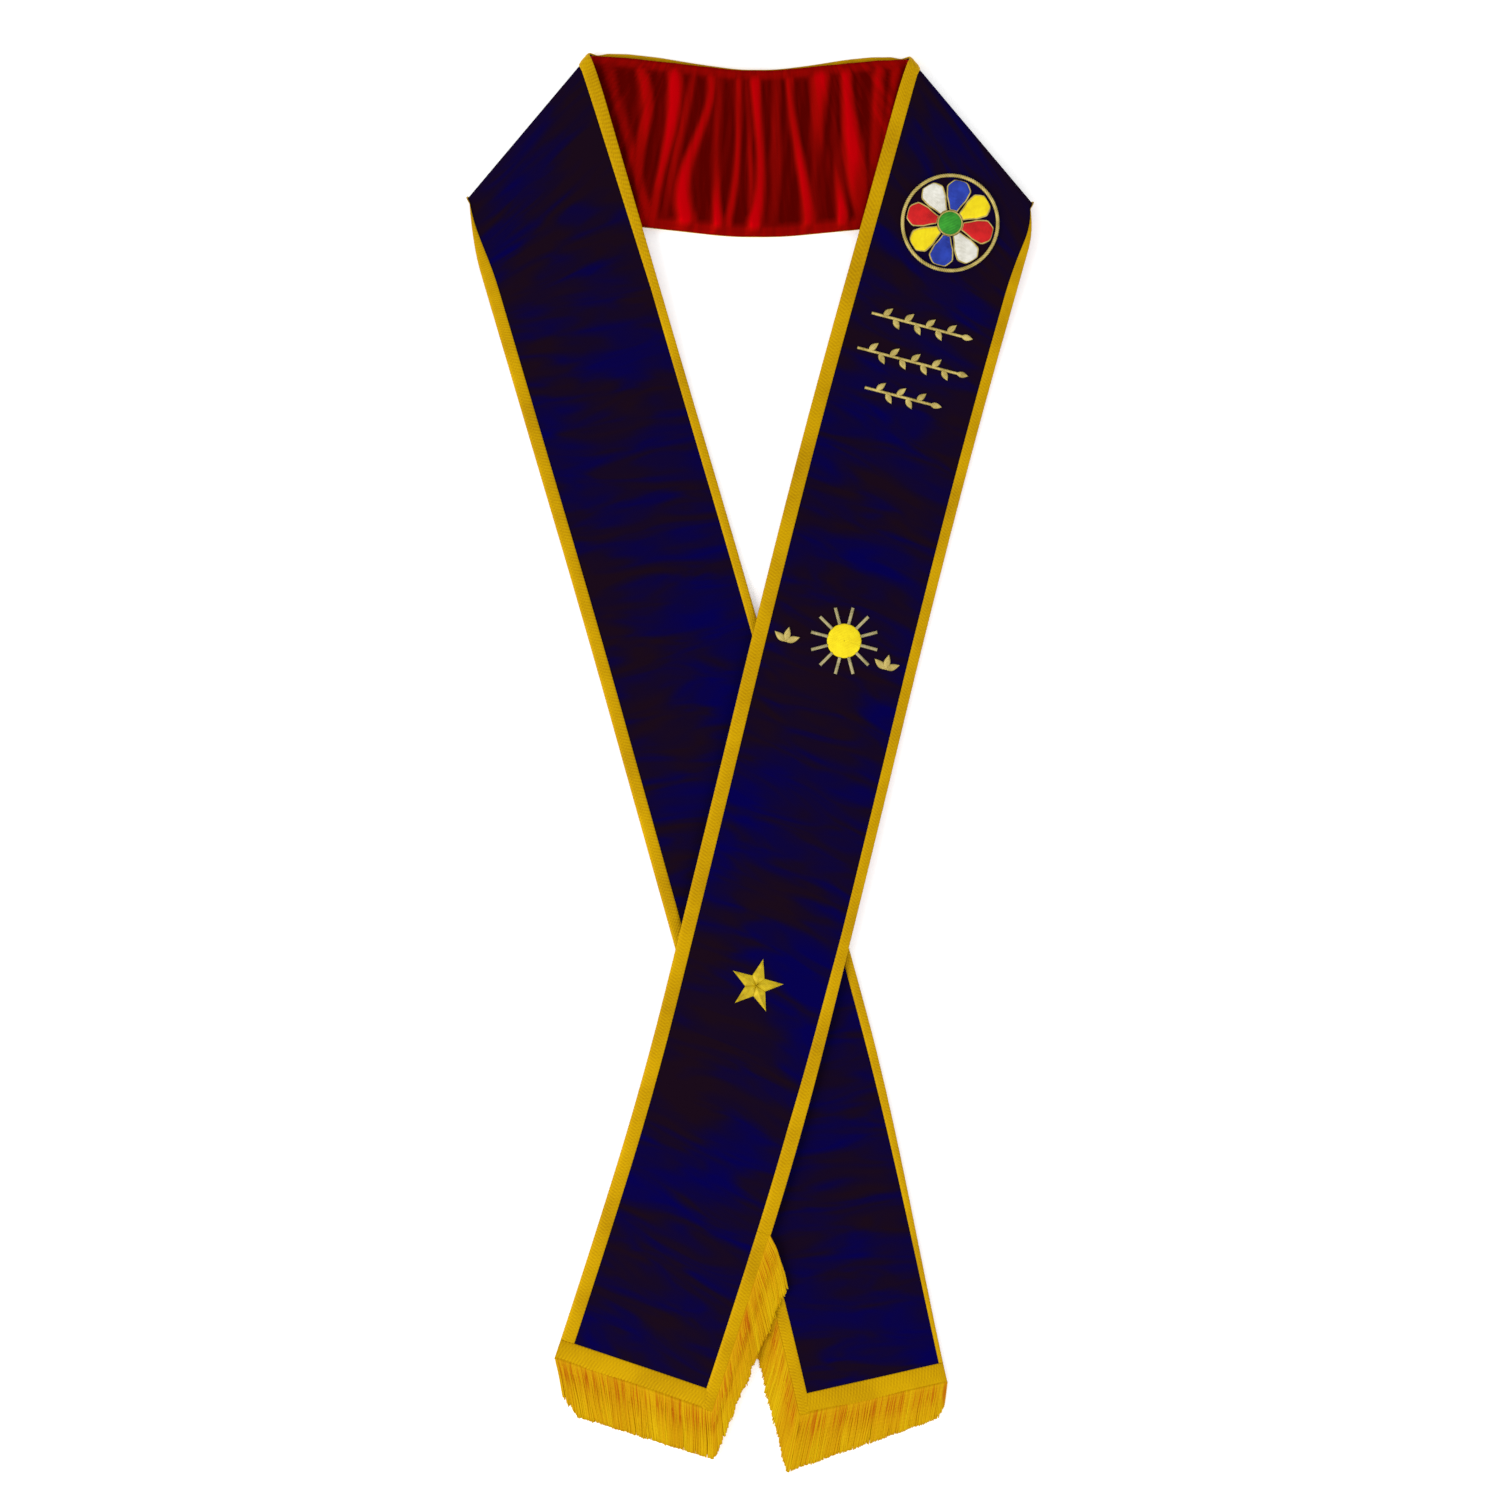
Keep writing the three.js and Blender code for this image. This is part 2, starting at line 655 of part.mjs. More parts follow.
// A pointed leaf from its foot, in the direction of its angle.
function leaf(footX, footY, angle, length, width) {
  const outline = [
    { along: 0, across: 0.12 },
    { along: 0.45, across: 0.5 },
    { along: 1, across: 0 },
    { along: 0.45, across: -0.5 },
    { along: 0, across: -0.12 },
  ];
  const direction = new THREE.Vector2(Math.cos(radians(angle)), Math.sin(radians(angle)));
  const points = outline.map(({ along, across }) =>
    new THREE.Vector2(footX, footY)
      .addScaledVector(direction, along * length)
      .add(new THREE.Vector2(-direction.y, direction.x).multiplyScalar(across * width)),
  );
  return new THREE.Shape(points);
}

// The badge: a ring of gold cord round eight petals in four colours and a green eye.
const badge = { x: 119, y: 320.5, turn: -15 };
const rosette = { ringOuter: 30, ringInner: 27, eye: 7, petals: 8 };
const petal = { from: 8.2, to: 25.8, halfAngle: 20.5 };
const petalColours = ["red", "yellow", "blue", "white"];

function ringShape(outer, inner) {
  const shape = new THREE.Shape().absarc(0, 0, outer, 0, 2 * Math.PI);
  if (inner) shape.holes.push(new THREE.Path().absarc(0, 0, inner, 0, 2 * Math.PI, true));
  return shape;
}

function petalShape(angle) {
  const at = (r, turn) => {
    const direction = radians(angle + turn);
    return new THREE.Vector2(r * Math.cos(direction), r * Math.sin(direction));
  };
  const outline = [
    at(petal.from, -petal.halfAngle * 0.75),
    at(petal.to * 0.62, -petal.halfAngle),
    at(petal.to * 0.87, -petal.halfAngle * 0.9),
    at(petal.to, -petal.halfAngle * 0.4),
    at(petal.to, petal.halfAngle * 0.4),
    at(petal.to * 0.87, petal.halfAngle * 0.9),
    at(petal.to * 0.62, petal.halfAngle),
    at(petal.from, petal.halfAngle * 0.75),
  ];
  return new THREE.Shape(outline);
}

const ring = ringShape(rosette.ringOuter, rosette.ringInner);
add("rosette_ring", raised([ring], badge), colours.braid, 0.45, 0.4);
add("rosette_eye", raised([ringShape(rosette.eye)], badge), colours.green, 0.6);
for (let i = 0; i < rosette.petals; i++) {
  const colour = petalColours[i % petalColours.length];
  const geometry = raised([petalShape((360 * i) / rosette.petals)], badge);
  add(`rosette_petal_${i + 1}_${colour}`, geometry, colours[colour], 0.6);
}

// Three rows of embroidered leaves on a stem.
const sprigRows = [
  { x: 101.3, y: 259.5, length: 60, leaves: 7 },
  { x: 95.6, y: 238.2, length: 66, leaves: 8 },
  { x: 90, y: 217, length: 45, leaves: 5 },
];
const sprigTurn = -14.5;
const stemWidth = 1.6;
const leafSize = { length: 7.4, width: 3.6, angle: 50 };

function bar(fromX, toX, width) {
  const corners = [
    new THREE.Vector2(fromX, -width / 2),
    new THREE.Vector2(toX, -width / 2),
    new THREE.Vector2(toX, width / 2),
    new THREE.Vector2(fromX, width / 2),
  ];
  return new THREE.Shape(corners);
}

function sprigShapes({ length, leaves }) {
  const stemLength = length - leafSize.length;
  const pitch = stemLength / (leaves + 1);
  const shapes = [bar(-length / 2, stemLength / 2, stemWidth)];
  for (let i = 1; i <= leaves; i++) {
    const up = i % 2 ? 1 : -1;
    const foot = -stemLength / 2 + pitch * (i - 0.5);
    shapes.push(leaf(foot, 0, up * leafSize.angle, leafSize.length, leafSize.width));
  }
  shapes.push(leaf(stemLength / 2 - 1, 0, 0, leafSize.length, leafSize.width));
  return shapes;
}

sprigRows.forEach((row, i) => {
  const geometry = raised(sprigShapes(row), { ...row, turn: sprigTurn });
  add(`sprig_row_${i + 1}`, geometry, colours.braid, 0.5, 0.4);
});

// The sun: a disc with twelve rays, between two small three-leaved sprigs.
const sun = { x: 55.7, y: 70.5, disc: 10.3, rayFrom: 10.8, rayTo: 20.5, rayWidth: 1.9, rays: 12 };
const sunPlace = { x: sun.x, y: sun.y, turn: -15 };
add("sun_disc", raised([ringShape(sun.disc)], sunPlace), colours.yellow, 0.5, 0.2);
for (let i = 0; i < sun.rays; i++) {
  const ray = bar(sun.rayFrom, sun.rayTo, sun.rayWidth);
  const turn = sunPlace.turn + (360 * i) / sun.rays;
  add(`sun_ray_${i + 1}`, raised([ray], { ...sunPlace, turn }), colours.braid, 0.5, 0.4);
}

const sideSprigs = [
  { name: "sun_sprig_left", x: 21.5, y: 74 },
  { name: "sun_sprig_right", x: 81.4, y: 57.4 },
];
const sideLeaf = { foot: -4, length: 9, width: 4, angles: [150, 90, 30] };
for (const { name, x, y } of sideSprigs) {
  const { foot, length, width, angles } = sideLeaf;
  const leaves = angles.map((angle) => leaf(0, foot, angle, length, width));
  add(name, raised(leaves, { x, y, turn: sprigTurn }), colours.braid, 0.5, 0.4);
}

// The plain star
const star = { x: 2.9, y: -136, turn: -15, points: 5, outer: 15.5, inner: 6.4 };
const starPoints = [];
for (let i = 0; i < 2 * star.points; i++) {
  const angle = Math.PI / 2 + (Math.PI * i) / star.points;
  const r = i % 2 ? star.inner : star.outer;
  starPoints.push(new THREE.Vector2(r * Math.cos(angle), r * Math.sin(angle)));
}
add("plain_star", raised([new THREE.Shape(starPoints)], star), colours.braid, 0.45, 0.4);

const sash = new THREE.Group();
sash.add(...meshes);

// The origin is the middle of the footprint, on the table.
const box = new THREE.Box3().setFromObject(sash);
sash.position.set(-(box.min.x + box.max.x) / 2, -(box.min.y + box.max.y) / 2, -box.min.z);

export default sash;
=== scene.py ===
# %% [markdown]
# # A ceremonial sash in velvet, satin and gold braid
#
# The real thing is one long band of navy velvet, about 99 mm wide and 1.84 m long. It is lined
# with red satin, edged on both sides with a flat gold braid and finished with gold fringe. Here
# it lies on a table: the neck shows its gathered lining, both shoulders are folded over, and the
# arms cross. The CAD model gives every place and size. This file gives it cloth, thread and light.

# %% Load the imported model, which is the fixed frame
import math

import bpy
import numpy as np
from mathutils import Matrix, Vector
from mathutils.bvhtree import BVHTree


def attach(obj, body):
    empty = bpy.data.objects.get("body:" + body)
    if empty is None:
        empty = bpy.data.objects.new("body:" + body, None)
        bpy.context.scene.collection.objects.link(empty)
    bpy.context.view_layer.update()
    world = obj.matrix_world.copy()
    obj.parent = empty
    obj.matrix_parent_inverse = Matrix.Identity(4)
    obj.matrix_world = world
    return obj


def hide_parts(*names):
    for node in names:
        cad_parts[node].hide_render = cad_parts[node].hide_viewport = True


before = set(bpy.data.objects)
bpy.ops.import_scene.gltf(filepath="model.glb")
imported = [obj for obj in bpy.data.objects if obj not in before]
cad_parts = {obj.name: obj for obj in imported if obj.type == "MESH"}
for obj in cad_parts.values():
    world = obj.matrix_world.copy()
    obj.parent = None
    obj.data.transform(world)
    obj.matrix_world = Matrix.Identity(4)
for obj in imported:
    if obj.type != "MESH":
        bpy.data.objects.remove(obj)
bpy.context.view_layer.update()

# %% [markdown]
# ## Measures
#
# The shapes are worked out in millimetres and turned to metres only when a mesh is made. They
# repeat the CAD model's own sizes, so that each finer piece lies where its solid lies.

# %% The band's measures, in millimetres
BAND_HALF = 49.3
BRAID_INNER = 41.8
BRAID_OUTER = 50.3
VELVET_BACK, VELVET_FACE = 0.15, 1.35
LINING_FACE, LINING_BACK = -1.15, -0.15
BRAID_BACK, BRAID_FACE = 1.42, 2.65
NECK_LEVEL = 2.65
ARM_LEVEL = 1.15
ROLL_RADIUS = 2.2
CENTRE_BACK = np.array([3.5, 363.3])
FOLD_ANGLE = 49.9
# From the middle of the sash in the CAD source to the middle of its footprint
ROW_SHIFT = np.array([0.6978, 2.0664, 0.0])
print("velvet is", VELVET_FACE - VELVET_BACK, "mm thick; band is", 2 * BAND_HALF, "mm wide")

# %% Where the edges turn in, in millimetres
# Beside a shoulder's fold: how deep, from what distance across, and how far along the neck
SHOULDER_TUCK = (5.2, 37, 30)
NECKWARD_TUCK = (1, 38, 20)
# How far along the arm: the shoulder edge of each half, then the other edge
OVER_REACH, UNDER_REACH, NECKWARD_REACH = 22, 50, 30
# Towards the under arm's end: the share by which it narrows, and how much its inner edge rolls
UNDER_ROLL = (0.05, 4.0)
NO_ROLL = (0.0, 0.0)
ROLL_FROM, ROLL_TO = 560, 785
# The shoulder braid loses this share of its width at the fold, and less up to its reaches.
BRAID_TAPER = {"share": 0.8, "on_neck": 20, "on_arm": 80}
# Across the neck the other braid stands out by this much more, as a thin gold line. It is
# thinnest at the centre back.
NECK_LINE = {"out": 1.7, "fade": 6, "thinner": 1.8, "whole_from": 10, "whole_fade": 85}
# An edge that rolls under shows less of its braid: widths left at distances from the fold, on
# the over half and on the under half
WHOLE_BRAID = BRAID_OUTER - BRAID_INNER
SHOULDER_BRAID = (((480, 6.2), (600, WHOLE_BRAID)), ((600, 7.6), (675, WHOLE_BRAID)))
NECKWARD_BRAID = (((0, WHOLE_BRAID),), ((0, WHOLE_BRAID), (110, 5.4)))
print("the shoulder corners turn in by", SHOULDER_TUCK[0], "mm")

# %% The fringe's measures: leans in degrees, lengths in millimetres
SIDE_FRINGE = 110
HEADER_DEPTH = 11.5
SIDE_REACH = 14
# Each pair goes along the end from its inner corner to its shoulder corner, or down the side.
WHOLE_LENGTH = 34
OVER_FRINGE = {"end_lean": (11, 1), "side_lean": (15, 1), "end_length": (WHOLE_LENGTH, 29)}
UNDER_FRINGE = {"end_lean": (8, 12), "side_lean": (15, 12), "end_length": (21, 35)}
print("most fringe threads are", WHOLE_LENGTH, "mm long")


# %% [markdown]
# ## The surface of the band
#
# A folded ribbon can be simulated, but a fold that has to stay on a given line is easier to work
# out. Each half of the band is a flat neck run, half a turn of roll at the shoulder, and a flat
# arm. A place on it is given by the run along its middle line and the distance across.

# %% Smooth steps between two values
QUICKNESS = 2.5


def smooth(value, low, high):
    share = np.clip((value - low) / (high - low), 0, 1)
    return share * share * (3 - 2 * share)


def fall_off(distance, reach, fall):
    return 1 - smooth(distance, reach, reach + fall)


def quick_fall(distance, reach):
    """From 1 down to 0 at the reach, quickest at first."""
    return (1 - np.clip(distance / reach, 0, 1)) ** QUICKNESS


# %% A middle line that bends in the plane
def middle_line(start, heading_at, length):
    """Gives the flat place at a run along the line and a distance to its left."""
    step = 2.0
    runs = np.arange(0, length, step)
    headings = heading_at(runs + step / 2)
    steps = step * np.stack([np.cos(headings), np.sin(headings)], axis=-1)
    points = np.vstack([start, start + np.cumsum(steps, axis=0)])

    def place(run, across):
        index = np.clip((run // step).astype(int), 0, len(points) - 2)
        heading = heading_at(np.clip(run, 0, length))
        left = np.stack([np.sin(heading), -np.cos(heading)], axis=-1)
        share = (run / step - index)[:, None]
        return points[index] * (1 - share) + points[index + 1] * share + left * across[:, None]

    return place


# %% One half of the band: neck run, shoulder roll and arm
class BandHalf:
    """Worked out as if on the right; side is -1 for the left."""

    def __init__(self, side, neck_slope, neck_length, reach, lean, arm_length, ground, rolled_in):
        slope = math.radians(neck_slope)
        self.side = side
        self.slope = slope
        self.neck_length = neck_length
        self.shoulder_reach = reach
        self.ground = ground
        self.narrowing, self.rolled_edge = rolled_in
        bend = 26
        self.neck = middle_line(
            np.zeros(2), lambda run: slope * smooth(run, 0, bend), neck_length
        )
        fold = math.radians(-FOLD_ANGLE)
        self.fold_direction = np.array([math.cos(fold), math.sin(fold)])
        self.outward = np.array([-math.sin(fold), math.cos(fold)])
        crossing = slope - fold
        self.crossing = crossing
        self.advance = 1 / math.tan(crossing)
        self.roll_length = math.pi * ROLL_RADIUS / math.sin(crossing)
        self.fold_centre = self.neck(np.array([float(neck_length)]), np.zeros(1))[0]
        arm_start = self.fold_centre + self.fold_direction * math.pi * ROLL_RADIUS * self.advance
        leans = np.array(lean, dtype=float)
        self.arm = middle_line(
            arm_start,
            lambda run: np.radians(-90 - np.interp(run, leans[:, 0], leans[:, 1])),
            arm_length,
        )
        self.arm_from = neck_length + self.roll_length
        self.length = self.arm_from + arm_length

    def world(self, flat, height, tilt):
        points = np.empty((len(flat), 3))
        points[:, 0] = CENTRE_BACK[0] + self.side * flat[:, 0]
        points[:, 1] = CENTRE_BACK[1] + flat[:, 1]
        points[:, 2] = height
        return points, tilt * np.array([self.side, 1, 1])

    def rise(self, flat):
        """How far an arm lies above the table: down from the neck, and over what it crosses."""
        neck_rise, clear, fall, bend = 5.9, 12, 95, 13
        edge = math.tan(self.slope) * np.maximum(0, flat[:, 0] - bend) - BAND_HALF
        from_neck = neck_rise * fall_off(edge - flat[:, 1], clear, fall)
        place = CENTRE_BACK + flat * np.array([self.side, 1])
        return np.maximum(from_neck, self.ground(place))

    def tucked(self, run, across):
        """Distances across once the edges have turned in beside the fold and at the end."""
        beyond = run - self.arm_from
        rolled = self.rolled_edge * smooth(beyond, ROLL_FROM, ROLL_TO)
        moved = np.zeros(len(run))
        edges = (
            (1, SHOULDER_TUCK, self.shoulder_reach, 0), (-1, NECKWARD_TUCK, NECKWARD_REACH, rolled)
        )
        for sign, (depth, start, on_neck), on_arm, extra in edges:
            past = np.maximum(sign * across - start, 0) / (BRAID_OUTER - start)
            neck_share = smooth(run, self.neck_length - on_neck, self.neck_length)
            share = np.minimum(neck_share, quick_fall(beyond, on_arm))
            moved = moved + sign * (depth * share + extra) * past ** 2
        return across - moved

    def on_neck(self, run, across, lift):
        clear, slanting = 8, 95
        end = self.neck_length - clear
        slant = self.advance * smooth(run, end - slanting, end)
        tilt = np.tile([0.0, 0.0, -1.0], (len(run), 1))
        return self.world(self.neck(run + slant * across, across), NECK_LEVEL + lift, tilt)

    def on_roll(self, run, across):
        angle = math.pi * (run - self.neck_length) / self.roll_length
        along = across / math.sin(self.crossing) + ROLL_RADIUS * angle * self.advance
        out = ROLL_RADIUS * np.sin(angle)
        flat = self.fold_centre + along[:, None] * self.fold_direction + out[:, None] * self.outward
        tilt = np.column_stack([np.sin(angle)[:, None] * self.outward, -np.cos(angle)])
        return self.world(flat, NECK_LEVEL + ROLL_RADIUS * (1 - np.cos(angle)), tilt)

    def on_arm(self, run, across, lift):
        clear, slanting = 8, 115
        along = run - self.arm_from
        slant = self.advance * fall_off(along, clear, slanting)
        narrow = 1 - self.narrowing * smooth(along, ROLL_FROM, ROLL_TO)
        flat = self.arm(along + slant * across, -across * narrow)
        tilt = np.tile([0.0, 0.0, 1.0], (len(run), 1))
        return self.world(flat, ARM_LEVEL + self.rise(flat) + lift, tilt)

    def at(self, run, across, lift):
        across = self.tucked(run, across)
        points = np.empty((len(run), 3))
        tilts = np.empty((len(run), 3))
        neck = run < self.neck_length
        roll = ~neck & (run <= self.arm_from)
        arm = run > self.arm_from
        if neck.any():
            points[neck], tilts[neck] = self.on_neck(run[neck], across[neck], lift[neck])
        if roll.any():
            points[roll], tilts[roll] = self.on_roll(run[roll], across[roll])
        if arm.any():
            points[arm], tilts[arm] = self.on_arm(run[arm], across[arm], lift[arm])
        return points, tilts


# %% The under half, on the left, and the ground that it makes for the over half
under_lean = [(0, 16.2), (230, 16.5), (350, 15.6), (480, 15.7), (600, 14.8), (786, 12.6)]


def table_ground(place):
    return np.zeros(len(place))


under = BandHalf(-1, 6.4, 135, UNDER_REACH, under_lean, 785, table_ground, UNDER_ROLL)
run_of_under = np.arange(under.arm_from + 0.01, under.length, 6)
under_line = under.at(run_of_under, np.zeros(len(run_of_under)), np.zeros(len(run_of_under)))[0]


def crossing_ground(place):
    """The height of the under arm beneath a place, falling to the table beside it."""
    cross_rise, clear, fall = 4.5, 12, 80
    away = np.full(len(place), np.inf)
    for point in under_line:
        away = np.minimum(away, np.hypot(place[:, 0] - point[0], place[:, 1] - point[1]))
    # The side fringe widens the under arm from here on down.
    fringe_from, fringe_whole = 170, 230
    fringe_room = SIDE_REACH * smooth(-place[:, 1], fringe_from, fringe_whole)
    return cross_rise * fall_off(away - BAND_HALF - fringe_room, clear, fall)


over_lean = [
    (0, 15.4), (110, 15.7), (230, 14.4), (350, 13.6), (540, 14.0), (660, 17.4), (774, 18.4)
]
over = BandHalf(1, 5.6, 126, OVER_REACH, over_lean, 773, crossing_ground, NO_ROLL)
print("band length:", round(over.length + under.length, 1), "mm")


# %% A place on the whole band: the run is above 0 on the over half and below 0 on the under half
def band(run, across, lift=0.0):
    run, across, lift = np.broadcast_arrays(
        np.asarray(run, float), np.asarray(across, float), np.asarray(lift, float)
    )
    shape = run.shape
    run, across, lift = run.ravel(), across.ravel(), lift.ravel()
    points = np.empty((len(run), 3))
    tilts = np.empty((len(run), 3))
    for half, mine in ((over, run >= 0), (under, run < 0)):
        if mine.any():
            found = half.at(np.abs(run[mine]), across[mine], lift[mine])
            points[mine], tilts[mine] = found
    return points.reshape(shape + (3,)), tilts.reshape(shape + (3,))


# %% [markdown]
# ## Drag ripples
#
# Velvet that has been handled never lies quite flat. Soft low ridges run across the arms where
# the cloth was dragged. A noise could lift the cloth all over, but separate smooth humps can each
# be turned along the drag. They fade out at the edges, where the braid holds the cloth straight.

# %% Ripples across the arms, drawn once from a fixed seed
RIPPLES_PER_ARM = 34
HIGHEST_RIPPLE = 1.3
# The ripples have faded out at this distance across, and none is nearer to the centre back.
BRAID_HOLDS = 42.0
RIPPLES_FROM = over.neck_length + 30
ripple_draw = np.random.RandomState(11)
ripples = []
for half in (over, under):
    for _ in range(RIPPLES_PER_ARM):
        ripple = {
            "run": half.side * ripple_draw.uniform(half.arm_from + 70, half.length - 12),
            "across": ripple_draw.uniform(-24, 24),
            "turn": math.radians(ripple_draw.uniform(-38, 30)),
            "width": ripple_draw.uniform(6, 12),
            "length": ripple_draw.uniform(16, 34),
            "height": ripple_draw.uniform(0.35, 0.85),
        }
        ripples.append(ripple)


def ripple_lift(run, across):
    lift = np.zeros(np.broadcast(run, across).shape)
    for ripple in ripples:
        along = run - ripple["run"]
        aside = across - ripple["across"]
        crest = aside * math.cos(ripple["turn"]) + along * math.sin(ripple["turn"])
        slope = along * math.cos(ripple["turn"]) - aside * math.sin(ripple["turn"])
        shape = np.exp(-((crest / ripple["length"]) ** 2) - (slope / ripple["width"]) ** 2)
        lift = lift + ripple["height"] * shape
    free = np.clip(1 - (np.abs(across) / BRAID_HOLDS) ** 3, 0, 1)
    return np.where(np.abs(run) > RIPPLES_FROM, np.minimum(lift, HIGHEST_RIPPLE) * free, 0)


print(len(ripples), "ripples, up to", HIGHEST_RIPPLE, "mm high")

# %% [markdown]
# ## Gathers of the lining
#
# The lining is longer than the neck of the band, so its fullness stands in vertical gathers.
# A cloth simulation would put them anywhere. Here each is a ridge with a place of its own, which
# wanders as it runs from the neck's upper edge to its lower one.

# %% The gathers: each has its places from the centre back, heights and half widths at five levels
LEVELS = (-46, -25, -4, 17, 34)
gathers = [
    ((-90, -84, -79, -72, -70), (1.2, 1.2, 1.2, 1.2, 1.2), (4, 4, 4, 4, 4)),
    ((-71, -66, -68, -71, -68), (1.9, 2.2, 2.0, 1.9, 1.9), (4, 4.5, 4, 3.5, 4)),
    ((-50, -49.5, -53, -57.5, -61), (2.6, 2.9, 2.6, 2.2, 1.9), (5, 5, 4, 3, 3)),
    ((-38, -42, -46, -51, -54), (0.9, 1.3, 1.4, 1.3, 1), (2.5, 3, 3, 3, 2.5)),
    ((-27.4, -30, -36, -44, -44), (2, 2, 2.1, 2.8, 2.9), (3.5, 3, 3.5, 5, 6)),
    ((-22, -23, -24, -24.5, -24), (0.6, 1, 1, 1.6, 2.5), (3, 3, 3, 3, 3.5)),
    ((-11, -10.5, -12, -12.5, -16), (1.9, 1.9, 1.9, 1.9, 1.9), (3, 2.6, 2.6, 2.6, 3)),
    ((-6, -5, -4.5, -3.5, -4), (0.8, 1, 1.3, 1.3, 1), (2, 2, 2, 2, 2)),
    ((-1.4, 0, 1.9, 1.9, 0), (2.7, 2.5, 2.3, 2.5, 2.9), (4, 3.5, 3, 3.5, 4.5)),
    ((11, 11.5, 11.6, 11.6, 10), (0.8, 1.1, 1.2, 1.1, 0.9), (3.5, 3.5, 3.5, 3.5, 3.5)),
    ((19.4, 21.4, 23.3, 28.5, 30), (2, 2, 2, 2.7, 2.5), (3, 3, 3, 4, 4)),
    ((37.7, 37.5, 36, 34, 33), (2.8, 2.2, 1, 0.6, 0.8), (7, 5, 5, 5, 5)),
    ((46, 46, 47, 49, 50.7), (0.3, 0.3, 0.4, 1.4, 2.7), (3, 3, 3, 3, 3.5)),
    ((53.3, 54.6, 56.5, 60, 62), (2.5, 2.7, 2.9, 2.7, 1.9), (4.5, 4.5, 6, 7, 6)),
    ((72.8, 72.8, 71.5, 71, 70), (2.2, 2.2, 2, 1, 0.9), (4, 4, 4, 4, 4)),
    ((84.5, 80.6, 77, 74, 72), (1.6, 1.5, 1.5, 1.4, 1.3), (4, 4, 4, 4, 4)),
]
NARROWEST_GATHER = 1.5
# A ridge's foot spreads past its half width, and its sides are this much rounder than a parabola.
FOOT_SPREAD, SIDE_POWER = 1.25, 1.3
# Small creases lie between the ridges, and finer ones slant over all of them. They are waves:
# height, radians per millimetre along and across the neck, and how far they wander over how much
CREASES = {"height": 0.14, "along": 0.9, "across": 0.05, "wander": 2, "over": 17}
SLANTING = {"height": 0.08, "along": 1.5, "across": -0.12, "wander": 1.6, "over": 11}
# The hems hold the gathers down to this share of their height.
HEM_SHARE, HEM_WIDTH = 0.35, 7
# Where an arm lies over the neck the ridges are pressed lower than where they are free.
PRESSED_HEIGHT, FREE_HEIGHT = 1.6, 3.0


def crease_height(from_centre, across, kind):
    wander = kind["wander"] * np.sin(across / kind["over"])
    wave = np.sin(from_centre * kind["along"] + kind["across"] * across + wander)
    return kind["height"] * (1 + wave)


def gather_lift(from_centre, across):
    """The height of the lining's ridges above the flat neck, in millimetres."""
    lift = np.zeros(from_centre.shape)
    level = np.clip(across, LEVELS[0], LEVELS[-1] + 6)
    for gather in gathers:
        # A cubic fitted to the five levels has no kinks.
        cubics = [np.polyfit(LEVELS, values, 3) for values in gather]
        ridge, high, wide = (np.polyval(cubic, level) for cubic in cubics)
        away = (from_centre - ridge) / (FOOT_SPREAD * np.maximum(wide, NARROWEST_GATHER))
        lift = np.maximum(lift, high * np.clip(1 - away ** 2, 0, None) ** SIDE_POWER)
    ridge_from, ridge_to = 0.2, 1.8
    between = 1 - smooth(lift, ridge_from, ridge_to)
    lift = lift + crease_height(from_centre, across, CREASES) * between
    lift = lift + crease_height(from_centre, across, SLANTING)
    from_hem = smooth(BAND_HALF - np.abs(across), 0, HEM_WIDTH)
    covered_from = np.interp(across, (-BAND_HALF, BAND_HALF), (90, 64))
    free = smooth(covered_from - np.abs(from_centre), 8, 20)
    highest = PRESSED_HEIGHT + (FREE_HEIGHT - PRESSED_HEIGHT) * free
    return np.minimum(lift * (HEM_SHARE + (1 - HEM_SHARE) * from_hem), highest)


print(len(gathers), "gathers across the neck")


# %% [markdown]
# ## Making meshes
#
# A cloth layer is a slab: a grid of places on its outer face, the same grid on its inner face,
# and a rim that joins them, so that each piece is a closed solid. A modifier could thicken a
# single sheet too, but a slab that is written out keeps both faces exactly where they belong.

# %% Turn places in millimetres into a Blender mesh
def to_metres(points):
    return (np.asarray(points).reshape(-1, 3) + ROW_SHIFT) * 0.001


def texture_place(across, along):
    """Where a texture is read: metres across and along the cloth, as if it lay straight."""
    return np.stack([across, along, np.zeros_like(along)], axis=-1).reshape(-1, 3) * 0.001


def volume_of(points, faces):
    a, b, c = points[faces[:, 0]], points[faces[:, 1]], points[faces[:, 2]]
    d = points[faces[:, -1]]
    return np.einsum("ij,ij->", a, np.cross(b, c)) + np.einsum("ij,ij->", a, np.cross(c, d))


def make_piece(name, parts, marks):
    """Joins (points, faces) parts into one smooth-shaded object; marks are named point values."""
    vertices = []
    faces = []
    start = 0
    for points, corners in parts:
        points = np.asarray(points, float).reshape(-1, 3)
        corners = np.asarray(corners)
        if volume_of(points, corners) < 0:
            corners = corners[:, ::-1]
        vertices.append(points)
        faces.append(corners + start)
        start += len(points)
    mesh = bpy.data.meshes.new(name)
    quads = [row.tolist() for group in faces for row in group]
    mesh.from_pydata(to_metres(np.vstack(vertices)).tolist(), [], quads)
    mesh.update()
    mesh.polygons.foreach_set("use_smooth", [True] * len(mesh.polygons))
    for title, values in marks.items():
        values = np.asarray(values, float)
        kind = "FLOAT" if values.ndim == 1 else "FLOAT_VECTOR"
        mark = mesh.attributes.new(title, kind, "POINT")
        mark.data.foreach_set("value" if kind == "FLOAT" else "vector", values.ravel())
    piece = bpy.data.objects.new(name, mesh)
    bpy.context.scene.collection.objects.link(piece)
    return piece


# %% Give a piece its finish, hide the solids that it replaces, and attach it where it rides
def dress(piece, finish, slot, *nodes):
    piece.data.materials.append(finish)
    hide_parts(*nodes)
    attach(piece, "root")
    print(piece.name + ":", len(piece.data.polygons), "faces")
    return piece


